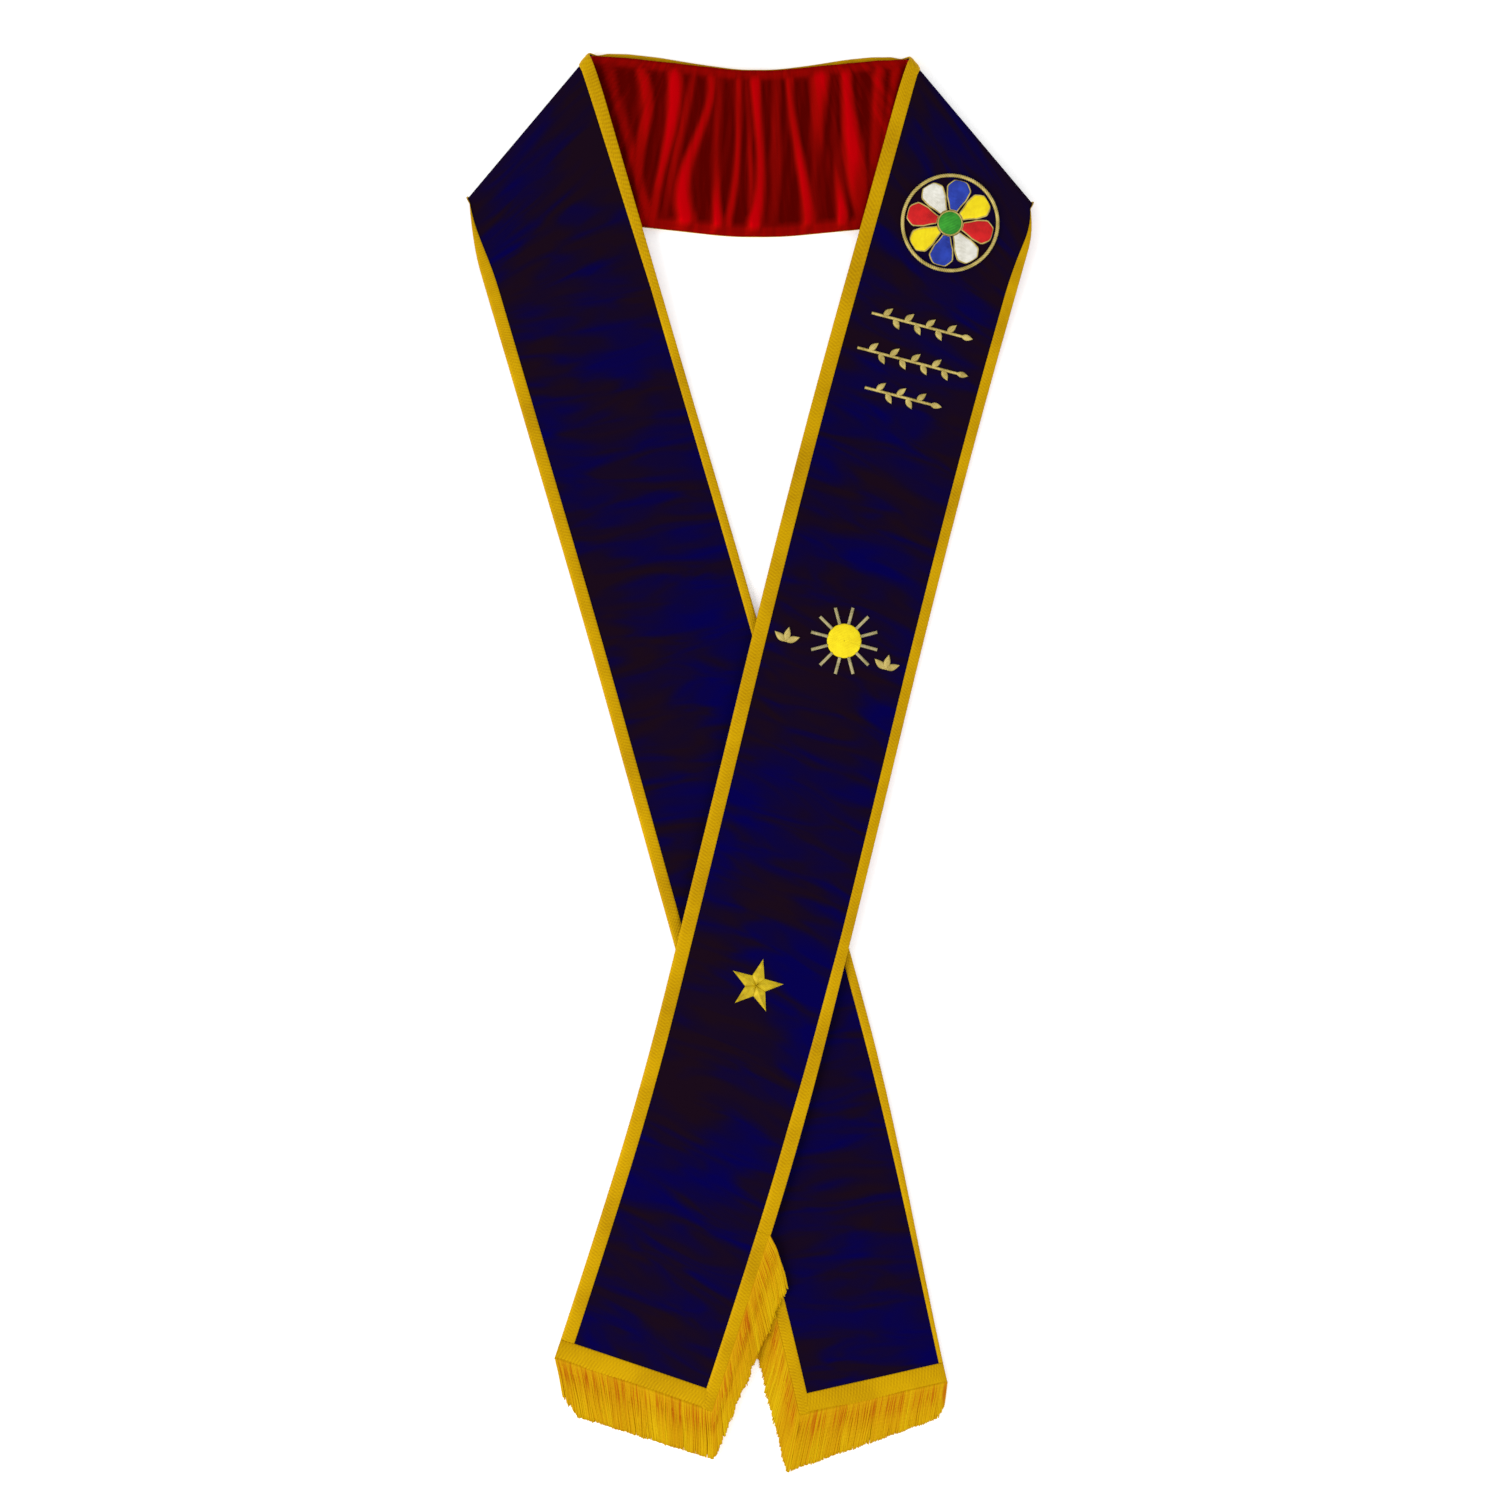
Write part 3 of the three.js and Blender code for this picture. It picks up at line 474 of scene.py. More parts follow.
# %% The faces of a slab between an outer and an inner grid of the same rows and columns
def slab_faces(rows, columns):
    outer = np.arange(rows * columns).reshape(rows, columns)
    inner = outer + rows * columns

    def quads(a, b, c, d):
        return np.stack([a.ravel(), b.ravel(), c.ravel(), d.ravel()], axis=1)

    groups = [
        quads(outer[:-1, :-1], outer[1:, :-1], outer[1:, 1:], outer[:-1, 1:]),
        quads(inner[:-1, :-1], inner[:-1, 1:], inner[1:, 1:], inner[1:, :-1]),
        quads(outer[:-1, 0], inner[:-1, 0], inner[1:, 0], outer[1:, 0]),
        quads(outer[:-1, -1], outer[1:, -1], inner[1:, -1], inner[:-1, -1]),
        quads(outer[0, :-1], outer[0, 1:], inner[0, 1:], inner[0, :-1]),
        quads(outer[-1, :-1], inner[-1, :-1], inner[-1, 1:], outer[-1, 1:]),
    ]
    return np.vstack(groups)


def with_heights(flat, heights):
    return np.concatenate([flat, heights[..., None]], axis=-1)


def slab(outer, inner):
    rows, columns = outer.shape[:2]
    points = np.vstack([outer.reshape(-1, 3), inner.reshape(-1, 3)])
    return points, slab_faces(rows, columns)


# %% Runs along the band where a layer has a line across
def runs_along(step_on_neck, step_on_arm, over_end, under_end):
    """The steps are in millimetres, and each half turn of roll is cut in twelve."""
    halves = []
    for half, end in ((over, over_end), (under, under_end)):
        neck = np.linspace(0, half.neck_length, round(half.neck_length / step_on_neck) + 1)
        roll = np.linspace(half.neck_length, half.arm_from, 13)[1:]
        arm = np.linspace(half.arm_from, end, round((end - half.arm_from) / step_on_arm) + 1)[1:]
        halves.append(np.concatenate([neck, roll, arm]))
    return np.concatenate([halves[0][::-1], -halves[1][1:]])


# %% [markdown]
# ## Colours and nodes
#
# Colours are written as the hex values that a paint program shows. Blender's shaders work in
# linear light, so one function converts them. Another adds a node, sets it and links it.

# %% Two helpers for every finish
def linear(hex_colour):
    channels = [int(hex_colour[i:i + 2], 16) / 255 for i in (1, 3, 5)]
    curve = [c / 12.92 if c <= 0.04045 else ((c + 0.055) / 1.055) ** 2.4 for c in channels]
    return (*curve, 1.0)


def add_node(tree, kind, inputs=None, stops=None, **settings):
    """Adds a node. An input is a value or the output socket that it is linked to."""
    node = tree.nodes.new(kind)
    for title, value in settings.items():
        setattr(node, title, value)
    for title, value in (inputs or {}).items():
        if isinstance(value, bpy.types.NodeSocket):
            tree.links.new(value, node.inputs[title])
        else:
            node.inputs[title].default_value = value
    if stops:
        elements = node.color_ramp.elements
        while len(elements) < len(stops):
            elements.new(0.5)
        for element, (position, colour) in zip(elements, stops):
            element.position = position
            element.color = colour if isinstance(colour, tuple) else linear(colour)
    return node


def new_finish(name):
    """A new material, its empty node tree and the output node."""
    finish = bpy.data.materials.new(name)
    finish.use_nodes = True
    finish.node_tree.nodes.clear()
    output = add_node(finish.node_tree, "ShaderNodeOutputMaterial")
    return finish, finish.node_tree, output


def grey(level):
    return (level, level, level, 1.0)


# %% [markdown]
# ## Navy rayon velvet
#
# Velvet is a woven cloth with a cut pile that stands up from it. It swallows light, so it is
# nearly black, and it has no gloss. The pile leans a little differently from patch to patch:
# where it leans to the light the navy shows, and elsewhere it goes to a brown black. That sheen
# and shade is painted into the colour as two cloud-like noises, one of them stretched along the
# drag ripples, with a little more painted shade near the neck and shoulders, and the shader gets
# a faint sheen lobe and no specular light. The pile's tufts are about 0.3 mm apart, finer than a
# pixel, and are drawn as a bump about 1 mm wide. A noise of scale 900 has that many patches to a
# metre, and one of scale 12 has clouds about 80 mm wide.

# %% Navy velvet
def make_velvet():
    finish, tree, output = new_finish("navy_rayon_velvet")
    run = add_node(tree, "ShaderNodeAttribute", attribute_name="run")
    # As a texture mapping, the scale is the size of a streak in metres, across and along the band.
    place = add_node(tree, "ShaderNodeMapping", {
        "Vector": run.outputs["Vector"],
        "Rotation": (0.0, 0.0, math.radians(8)),
        "Scale": (0.055, 0.014, 1.0),
    }, vector_type="TEXTURE")
    drags = add_node(tree, "ShaderNodeTexNoise", {
        "Vector": place.outputs[0], "Scale": 1.0, "Detail": 2.0, "Roughness": 0.45, "Distortion": 0.9,
    })
    clouds = add_node(tree, "ShaderNodeTexNoise", {
        "Vector": run.outputs["Vector"], "Scale": 12.0, "Detail": 2.0, "Roughness": 0.5,
    })
    both = add_node(tree, "ShaderNodeMath", {
        0: drags.outputs["Fac"], 1: clouds.outputs["Fac"],
    }, operation="ADD")
    # Painted shade: near the neck and shoulders the pile leans away from the light, so the colour is
    # made a little deeper there.
    along = add_node(tree, "ShaderNodeSeparateXYZ", {"Vector": run.outputs["Vector"]})
    from_back = add_node(tree, "ShaderNodeMath", {0: along.outputs["Y"]}, operation="ABSOLUTE")
    painted_shoulder_shade = add_node(tree, "ShaderNodeMapRange", {
        "Value": from_back.outputs[0],
        "From Min": 0.16, "From Max": 0.48, "To Min": -0.02, "To Max": 0.003,
    })
    # The noises and this painted shade make one value of painted sheen and shade for the pile.
    lean = add_node(tree, "ShaderNodeMath", {
        0: both.outputs[0], 1: 0.5, 2: painted_shoulder_shade.outputs[0],
    }, operation="MULTIPLY_ADD")
    # This ramp is the pile's painted sheen and shade: navy where it leans to the light, brown black
    # in its shade.
    painted_pile_sheen = add_node(tree, "ShaderNodeValToRGB", {0: lean.outputs[0]}, stops=[
        (0.39, "#180A18"), (0.47, "#130822"), (0.55, "#0C0536"), (0.64, "#060248"),
    ])
    pile = add_node(tree, "ShaderNodeTexNoise", {
        "Vector": run.outputs["Vector"], "Scale": 900.0, "Detail": 2.0,
    })
    bump = add_node(tree, "ShaderNodeBump", {
        "Height": pile.outputs["Fac"], "Strength": 0.35, "Distance": 0.0004,
    })
    shader = add_node(tree, "ShaderNodeBsdfPrincipled", {
        "Base Color": painted_pile_sheen.outputs[0],
        "Roughness": 0.95,
        "Specular IOR Level": 0.0,
        "Sheen Weight": 0.04,
        "Sheen Roughness": 0.35,
        "Sheen Tint": linear("#3A35C8"),
        "Normal": bump.outputs[0],
    })
    tree.links.new(shader.outputs[0], output.inputs["Surface"])
    return finish


navy_velvet = make_velvet()
print("finish:", navy_velvet.name)

# %% The velvet itself, as one closed slab with its ripples
def make_velvet_band():
    columns = 37
    runs = runs_along(5.0, 2.4, over_end=over.length, under_end=under.length)
    across = np.linspace(-BAND_HALF, BAND_HALF, columns)
    run, aside = np.meshgrid(runs, across, indexing="ij")
    points, tilts = band(run, aside, ripple_lift(run, aside))
    part = slab(points + tilts * VELVET_FACE, points + tilts * VELVET_BACK)
    mark = texture_place(aside, run)
    piece = make_piece("velvet", [part], {"run": np.vstack([mark, mark])})
    return piece, part


velvet, velvet_part = make_velvet_band()
dress(velvet, navy_velvet, "navy_velvet", "velvet_over_arm", "velvet_neck", "velvet_under_arm")

# %% [markdown]
# ## Red polyester satin
#
# Satin is woven so that long threads float on its face, which gives it a smooth gloss in the
# colour of the cloth. Its ridges shine and its folds go dark. The gloss is coloured, so part
# of the shader is metallic, and the colour also carries painted light: painted shade that
# deepens with the depth of each fold below the ridges, and a painted highlight on the ridges.

# %% Red satin
def make_satin():
    finish, tree, output = new_finish("red_polyester_satin")
    fold = add_node(tree, "ShaderNodeAttribute", attribute_name="fold")
    run = add_node(tree, "ShaderNodeAttribute", attribute_name="run")
    # The painted sheen follows the gathers: each streak is long across the band and narrow along it.
    place = add_node(tree, "ShaderNodeMapping", {
        "Vector": run.outputs["Vector"], "Scale": (18.0, 190.0, 1.0),
    })
    painted_sheen_streaks = add_node(tree, "ShaderNodeTexNoise", {
        "Vector": place.outputs[0], "Scale": 1.0, "Detail": 3.0, "Roughness": 0.5, "Distortion": 0.4,
    })
    shifted = add_node(tree, "ShaderNodeMath", {
        0: painted_sheen_streaks.outputs["Fac"], 1: 0.55, 2: -0.28,
    }, operation="MULTIPLY_ADD")
    # The fold mark and the streak noise add up to the painted shade and highlight of the satin.
    depth = add_node(tree, "ShaderNodeMath", {
        0: fold.outputs["Fac"], 1: shifted.outputs[0],
    }, operation="ADD")
    reds_with_painted_folds = add_node(tree, "ShaderNodeValToRGB", {0: depth.outputs[0]}, stops=[
        (0.05, "#560200"), (0.35, "#780502"), (0.60, "#980603"), (0.95, "#BC0008"),
    ])
    shader = add_node(tree, "ShaderNodeBsdfPrincipled", {
        "Base Color": reds_with_painted_folds.outputs[0],
        "Metallic": 0.3,
        "Roughness": 0.45,
        "Specular IOR Level": 0.0,
    })
    tree.links.new(shader.outputs[0], output.inputs["Surface"])
    return finish


red_satin = make_satin()
print("finish:", red_satin.name)

# %% The lining, fine across the neck where it is gathered and coarse under the arms
GATHERED_TO = 98
# The fold mark is painted light: 0, the deepest painted shade, in a hollow and 1, a painted
# highlight, on the highest ridge. Under the arms it is even.
HIGHEST_GATHER = 2.9
ARM_EVEN_PAINTED_LIGHT = 0.45
# The hems lie flat above and below the gathers and get a brighter painted light.
HEM_PAINTED_LIGHT, HEM_FROM, HEM_TO = 0.5, 40.5, 46


def make_lining():
    columns = 45
    runs = runs_along(1.0, 6.0, over_end=over.length, under_end=under.length)
    across = np.linspace(-BAND_HALF, BRAID_OUTER, columns)
    run, aside = np.meshgrid(runs, across, indexing="ij")
    flat = band(run, aside)[0]
    on_neck = (run < over.neck_length) & (run > -under.neck_length)
    from_centre = flat[..., 0] - CENTRE_BACK[0]
    gathered = np.where(np.abs(from_centre) < GATHERED_TO, gather_lift(from_centre, aside), 0)
    lift = np.where(on_neck, gathered, ripple_lift(run, aside))
    points, tilts = band(run, aside, lift)
    part = slab(points + tilts * LINING_FACE, points + tilts * LINING_BACK)
    # The painted light of the lining: shade in the hollows, highlights on the ridges, brighter flat
    # hems and an even tone under the arms.
    hem = HEM_PAINTED_LIGHT * smooth(np.abs(aside), HEM_FROM, HEM_TO)
    depth = np.where(on_neck, np.maximum(gathered / HIGHEST_GATHER, hem), ARM_EVEN_PAINTED_LIGHT).ravel()
    mark = texture_place(aside, run)
    marks = {"fold": np.concatenate([depth, depth]), "run": np.vstack([mark, mark])}
    return make_piece("lining", [part], marks)


lining = make_lining()
dress(lining, red_satin, "red_satin", "lining_over_arm", "lining_neck", "lining_under_arm")

# %% [markdown]
# ## Gold flat braid
#
# The edge trim is a flat braid of rayon and gold yarn, 8.5 mm wide. Its yarns cross in a
# herringbone, so its face is a row of small slanting ribs. Real ones are about 1.2 mm apart;
# these are 2 mm, so that they show. A bump could draw them all, but ribs in the mesh also catch
# the light from the side, so only the yarns that cross them are a bump.

# %% Gold braid
def make_gold_yarn(name, stops, roughness, metallic, pitch):
    """A gold trim: its colour varies along the trim, with a painted highlight on its ribs and painted
    shade between them, and yarns cross its face at a slant.
    """
    finish, tree, output = new_finish(name)
    run = add_node(tree, "ShaderNodeAttribute", attribute_name="run")
    wear = add_node(tree, "ShaderNodeTexNoise", {
        "Vector": run.outputs["Vector"], "Scale": 24.0, "Detail": 4.0, "Roughness": 0.6,
    })
    # This mark paints a highlight on the crests of the ribs and shade in the troughs between them.
    rib_shade = add_node(tree, "ShaderNodeAttribute", attribute_name="rib_shade")
    shade = add_node(tree, "ShaderNodeMath", {
        0: rib_shade.outputs["Fac"], 1: 0.35, 2: wear.outputs["Fac"],
    }, operation="MULTIPLY_ADD")
    golds = add_node(tree, "ShaderNodeValToRGB", {0: shade.outputs[0]}, stops=stops)
    place = add_node(tree, "ShaderNodeMapping", {
        "Vector": run.outputs["Vector"], "Scale": (1 / pitch, 1 / pitch, 1.0),
    })
    # At this scale a slanting yarn comes round about every two pitches.
    yarns = add_node(tree, "ShaderNodeTexWave", {
        "Vector": place.outputs[0], "Scale": 0.32, "Distortion": 0.6, "Detail": 1.0,
    }, bands_direction="DIAGONAL")
    bump = add_node(tree, "ShaderNodeBump", {
        "Height": yarns.outputs["Fac"], "Strength": 0.4, "Distance": 0.0002,
    })
    shader = add_node(tree, "ShaderNodeBsdfPrincipled", {
        "Base Color": golds.outputs[0],
        "Metallic": metallic,
        "Roughness": roughness,
        "Specular IOR Level": 0.05,
        "Normal": bump.outputs[0],
    })
    tree.links.new(shader.outputs[0], output.inputs["Surface"])
    return finish


gold_braid = make_gold_yarn(
    "gold_rayon_braid",
    [(0.30, "#A27800"), (0.55, "#B88C00"), (0.85, "#CCA000")],
    roughness=0.55, metallic=0.3, pitch=0.0012,
)
print("finish:", gold_braid.name)

# %% Where the braids change their distance from the middle line
def half_measures(run):
    """The neck length and the arm's start of the half on which each run lies."""
    on_over = run >= 0
    neck_end = np.where(on_over, over.neck_length, under.neck_length)
    return neck_end, np.where(on_over, over.arm_from, under.arm_from)


def width_left(run, tables):
    """How wide a braid shows, from its tables for the over half and the under half."""
    _, arm_from = half_measures(run)
    beyond = np.abs(run) - arm_from
    over_width, under_width = (np.interp(beyond, *zip(*table)) for table in tables)
    return np.where(run >= 0, over_width, under_width)


# In both, share runs from -1 at one edge of the braid to 1 at the other.
def shoulder_place(run, share):
    neck_end, arm_from = half_measures(run)
    on_neck = smooth(np.abs(run), neck_end - BRAID_TAPER["on_neck"], neck_end)
    on_arm = quick_fall(np.abs(run) - arm_from, BRAID_TAPER["on_arm"])
    left = 1 - BRAID_TAPER["share"] * np.minimum(on_neck, on_arm)
    return BRAID_OUTER - width_left(run, SHOULDER_BRAID) * left * (1 - share) / 2


def neckward_place(run, share):
    neck_end, _ = half_measures(run)
    on_neck = 1 - smooth(np.abs(run), neck_end - NECK_LINE["fade"], neck_end)
    at_centre = fall_off(np.abs(run), NECK_LINE["whole_from"], NECK_LINE["whole_fade"])
    thinner = NECK_LINE["thinner"] * at_centre
    out = (NECK_LINE["out"] * on_neck - thinner) * ((1 - share) / 2) ** 4
    return width_left(run, NECKWARD_BRAID) * (share + 1) / 2 - BRAID_OUTER - out


print("braid left at the fold:", round((1 - BRAID_TAPER["share"]) * WHOLE_BRAID, 1), "mm")

# %% A braid's cross section: crowned, with slanting ribs and thin edges
RIB_PITCH = 2.0
RIB_HEIGHT = 0.12
RIB_SLANT = 0.9
CROWN_HEIGHT = 0.55
SEAM_DEPTH, SEAM_WIDTH = 0.12, 0.12
EDGE_FACE = BRAID_FACE - 0.72
BRAID_COLUMNS = np.array([-1, -0.9, -0.45, 0, 0.45, 0.9, 1])
BRAID_STEP = 0.5
# The mark of the ribs is painted light: 1, a painted highlight, on their crests and 0, painted shade,
# in the trough between two. The braid's unseen back has this one.
BACK_RIB_SHADE = 0.6


def braid_heights(along, share):
    """share runs from -1 to 1 across the braid."""
    ribs = np.cos(2 * math.pi * (along / RIB_PITCH + RIB_SLANT * np.abs(share)))
    crown = CROWN_HEIGHT * (1 - np.abs(share) ** 5)
    seam = SEAM_DEPTH * np.exp(-((share / SEAM_WIDTH) ** 2))
    top = EDGE_FACE + crown + RIB_HEIGHT * ribs * (1 - share ** 6) - seam
    return top, 0.5 + 0.5 * ribs


def ribbed_slab(run, aside, along, share):
    """A stretch of braid from grids of runs, distances across and places in the braid."""
    points, tilts = band(run, aside, ripple_lift(run, aside))
    heights, ribs = braid_heights(along, share)
    part = slab(points + tilts * heights[..., None], points + tilts * BRAID_BACK)
    mark = texture_place(share * 5, along)
    return part, mark, ribs.ravel()


def make_braid(name, over_end, under_end, place_of, node):
    runs = runs_along(BRAID_STEP, BRAID_STEP, over_end, under_end)
    run, share = np.meshgrid(runs, BRAID_COLUMNS, indexing="ij")
    part, mark, ribs = ribbed_slab(run, place_of(run, share), run, share)
    back = np.full(len(ribs), BACK_RIB_SHADE)
    marks = {"run": np.vstack([mark, mark]), "rib_shade": np.concatenate([ribs, back])}
    nodes = [node + "_over_arm", node + "_neck", node + "_under_arm"]
    return dress(make_piece(name, [part], marks), gold_braid, "gold_braid", *nodes)


over_header_from = over.length - HEADER_DEPTH
under_header_from = under.length - HEADER_DEPTH
neckward_braid = make_braid(
    "braid_neckward", over_header_from, under_header_from, neckward_place, "neckward_braid"
)
shoulder_braid = make_braid(
    "braid_shoulder", over.length - SIDE_FRINGE, under.length - SIDE_FRINGE,
    shoulder_place, "shoulder_braid",
)

# %% [markdown]
# ## Gold fringe
#
# The fringe hangs from a woven header that is sewn along the end of each arm and 110 mm up its
# shoulder edge. Its threads are soft twisted rayon. On a table they drop off the edge of
# the band and lie on what is below, two layers deep, and they gather in loose locks.
# Hair strands would be quick to make, but a thread that is a real tube, 0.86 mm thick, can be
# exported and looks the same in every program.

# %% Fringe finish: each thread has its own gold, from orange to lemon
def make_fringe_rayon():
    finish, tree, output = new_finish("gold_fringe_rayon")
    tint = add_node(tree, "ShaderNodeAttribute", attribute_name="tint")
    golds = add_node(tree, "ShaderNodeValToRGB", {0: tint.outputs["Fac"]}, stops=[
        (0.05, "#B86400"), (0.35, "#C48A00"), (0.60, "#CC9A00"), (0.95, "#D8B804"),
    ])
    # The twist comes round every 2.4 mm, about twice as coarse as a real one, so that it shows.
    run = add_node(tree, "ShaderNodeAttribute", attribute_name="run")
    twist = add_node(tree, "ShaderNodeTexWave", {
        "Vector": run.outputs["Vector"], "Scale": 260.0, "Distortion": 0.4,
    }, bands_direction="DIAGONAL")
    bump = add_node(tree, "ShaderNodeBump", {
        "Height": twist.outputs["Fac"], "Strength": 0.35, "Distance": 0.0002,
    })
    shader = add_node(tree, "ShaderNodeBsdfPrincipled", {
        "Base Color": golds.outputs[0],
        "Metallic": 0.1,
        "Roughness": 0.6,
        "Specular IOR Level": 0.05,
        "Normal": bump.outputs[0],
    })
    tree.links.new(shader.outputs[0], output.inputs["Surface"])
    return finish


fringe_rayon = make_fringe_rayon()
print("finish:", fringe_rayon.name)


# %% The header: an L of ribbed braid along the end and up the shoulder edge
HEADER_PAST_END = 1


def make_header(name, half, node):
    last = half.length + HEADER_PAST_END
    ends = np.arange(-BRAID_OUTER, BRAID_INNER + 2, BRAID_STEP)
    aside, share = np.meshgrid(ends, BRAID_COLUMNS, indexing="ij")
    from_end = half.length - HEADER_DEPTH
    run = from_end + (last - from_end) * (share + 1) / 2
    along_end = ribbed_slab(half.side * run, aside, aside, share)
    sides = np.arange(half.length - SIDE_FRINGE, last, BRAID_STEP)
    run, share = np.meshgrid(sides, BRAID_COLUMNS, indexing="ij")
    aside = BRAID_INNER + WHOLE_BRAID * (share + 1) / 2
    up_side = ribbed_slab(half.side * run, aside, run, share)
    marks = []
    ribs = []
    # The backs get the deepest painted shade of the ribs' mark.
    for _, mark, rib_shade in (along_end, up_side):
        marks += [mark, mark]
        ribs += [rib_shade, rib_shade * 0]
    named = {"run": np.vstack(marks), "rib_shade": np.concatenate(ribs)}
    piece = make_piece(name, [along_end[0], up_side[0]], named)
    return dress(piece, gold_braid, "gold_fringe", node)


over_header = make_header("over_fringe_header", over, "over_fringe")
under_header = make_header("under_fringe_header", under, "under_fringe")


# %% Roots and directions along one edge of an end
# A thread's root lies this far inside the header. Its drop starts and ends at these lengths.
END_ROOT, SIDE_ROOT, CORNER_ROOT = 0.6, 0.7, 0.5
END_DROP, SIDE_DROP = (0.6, 9.0), (8.5, 16)
# At the inner corner the fringe is cut round: the share of its length, and where it is whole
CORNER_CUT, CUT_TO = 0.72, 0.09
# The topmost threads of a side swing outwards, in a lobe.
LOBE, LOBE_TO = 1.8, 0.3
# The end's places on the header are counted from here, so that no lock spans both edges.
END_PLACES = 300
# The columns of a row of thread roots
TURN, LENGTH, DROP_FROM, DROP_TO, LAYER, PLACE, BULGE = range(2, 9)


def fringe_rows(half, measures, edge, share, layer):
    """Rows of a root's x and y, and then the named columns; share is the way along the edge."""
    last = half.length + HEADER_PAST_END
    if edge == "end":
        aside = (2 * share - 1) * (BRAID_OUTER - CORNER_ROOT)
        run = np.full(len(share), last - END_ROOT)
        lengths, drop, along = measures["end_length"], END_DROP, aside + END_PLACES
        cut = CORNER_CUT + (1 - CORNER_CUT) * smooth(share, 0, CUT_TO)
        bulge = np.zeros(len(share))
    else:
        aside = np.full(len(share), BRAID_OUTER - SIDE_ROOT)
        run = last - (SIDE_FRINGE + HEADER_PAST_END) * (1 - share)
        lengths, drop, along = (WHOLE_LENGTH, measures["end_length"][1]), SIDE_DROP, run
        cut = 1.0
        bulge = half.side * LOBE * fall_off(share, 0, LOBE_TO)
    flat = band(half.side * run, aside)[0][:, :2]
    turn = half.side * np.interp(share, (0, 1), measures[edge + "_lean"])
    length = np.interp(share, (0, 1), lengths) * cut
    drops = np.tile(drop, (len(share), 1))
    layers = np.full(len(share), layer)
    return np.column_stack([flat, turn, length, drops, layers, along, bulge])


LAYERS = 2
THREAD_COUNTS = {"end": 230, "side": 250}


def thread_roots(half, measures, draw):
    rows = []
    for edge, count in THREAD_COUNTS.items():
        for layer in range(LAYERS):
            share = (np.arange(count) + draw.uniform(0.1, 0.9, count)) / count
            rows.append(fringe_rows(half, measures, edge, share, layer))
    return np.vstack(rows)


# %% Tubes of six sides round lines of places
def tubes(flat, sideways, height, thick):
    """Grids of (thread, station): flat places, directions aside, heights; radii per station."""
    sides = 6
    around = 2 * math.pi * np.arange(sides) / sides
    offset_side = np.cos(around)[None, None, :] * thick[None, :, None]
    offset_up = np.sin(around)[None, None, :] * thick[None, :, None]
    rings = np.empty(height.shape + (sides, 3))
    rings[..., :2] = flat[:, :, None, :] + sideways[:, None, None, :] * offset_side[..., None]
    rings[..., 2] = height[:, :, None] + offset_up
    index = np.arange(height.size * sides).reshape(height.shape + (sides,))
    after = np.roll(index, -1, axis=2)
    walls = np.stack([index[:, :-1], after[:, :-1], after[:, 1:], index[:, 1:]], axis=-1)
    start, end = index[:, 0], index[:, -1]
    caps = [
        start[:, [3, 2, 1, 0]], start[:, [5, 4, 3, 0]],
        end[:, [0, 1, 2, 3]], end[:, [0, 3, 4, 5]],
    ]
    return rings.reshape(-1, 3), np.vstack([walls.reshape(-1, 4)] + caps), around


# %% The line of each thread: off the header, down its edge and along what is below
THREAD_RADIUS = 0.43
STATIONS = np.array([-1.0, 1.0, 4, 7, 10, 13, 16.5, 20, 24, 28, 31.5, WHOLE_LENGTH]) / WHOLE_LENGTH
BED_HEIGHT = 1.5
# The bed thins towards the tips by this share, from this share of its length on.
BED_THINS, THINS_FROM = 0.65, 0.55


def bed_height(s, length):
    return BED_HEIGHT * (1 - BED_THINS * smooth(s / length[:, None], THINS_FROM, 1.0))


def thread_lines(roots, turn, length, sway, ground):
    """Grids of places, distances s along the threads, shares dropped and ground heights."""
    ahead = np.column_stack([np.sin(turn), -np.cos(turn)])
    sideways = np.column_stack([-ahead[:, 1], ahead[:, 0]])
    s = STATIONS[None, :] * length[:, None]
    # A lobe is widest between these distances, and half as wide at the tips.
    widest_from, widest_to = 10, 24
    swing = smooth(s, 0, widest_from) * (1 - 0.5 * smooth(s, widest_to, WHOLE_LENGTH))
    sway = sway + roots[:, BULGE][:, None] * swing
    flat = roots[:, None, :2] + ahead[:, None] * s[..., None] + sideways[:, None] * sway[..., None]
    dropped = smooth(s, roots[:, DROP_FROM][:, None], roots[:, DROP_TO][:, None])
    level = ARM_LEVEL + ground(flat.reshape(-1, 2)).reshape(s.shape)
    return flat, sideways, s, dropped, level


# %% A bed of fibre that the threads lie half sunk in, so that no dark gap shows between them
# Heights of the bed's top and underside at the header, above the band's seam, and on the ground
BED_TOP, BED_LOW, BED_FLOOR = 2.1, 1.5, 0.05
BED_SHORTER = 1.5
BED_ROWS, BED_INSET = 70, 0.004
BED_TINT = 0.42


def fringe_bed(half, measures, edge, ground):
    share = np.linspace(BED_INSET, 1 - BED_INSET, BED_ROWS)
    roots = fringe_rows(half, measures, edge, share, 0)
    turn, length = np.radians(roots[:, TURN]), roots[:, LENGTH] - BED_SHORTER
    still = np.zeros((len(roots), len(STATIONS)))
    flat, _, s, dropped, level = thread_lines(roots, turn, length, still, ground)
    top = level + BED_TOP * (1 - dropped) + (bed_height(s, length) - ARM_LEVEL) * dropped
    low = level + BED_LOW * (1 - dropped) + (BED_FLOOR - ARM_LEVEL) * dropped
    grids = [with_heights(flat, heights) for heights in (top, low)]
    mark = texture_place(s * 0, s)
    return slab(*grids), np.full(2 * s.size, BED_TINT), np.vstack([mark, mark])


# %% The threads and their beds
# How the threads of a lock lean and sway together, and how each differs: degrees and millimetres
LOCK_WIDTH = 6.0
LOCK_LEAN, THREAD_LEAN = 1.3, 0.8
LOCK_SWAY, THREAD_SWAY = 0.35, 0.2
SWAY_PITCH, SWAY_FROM = 6.5, 8
LENGTH_SPREAD, HEIGHT_SPREAD = 0.4, 0.07
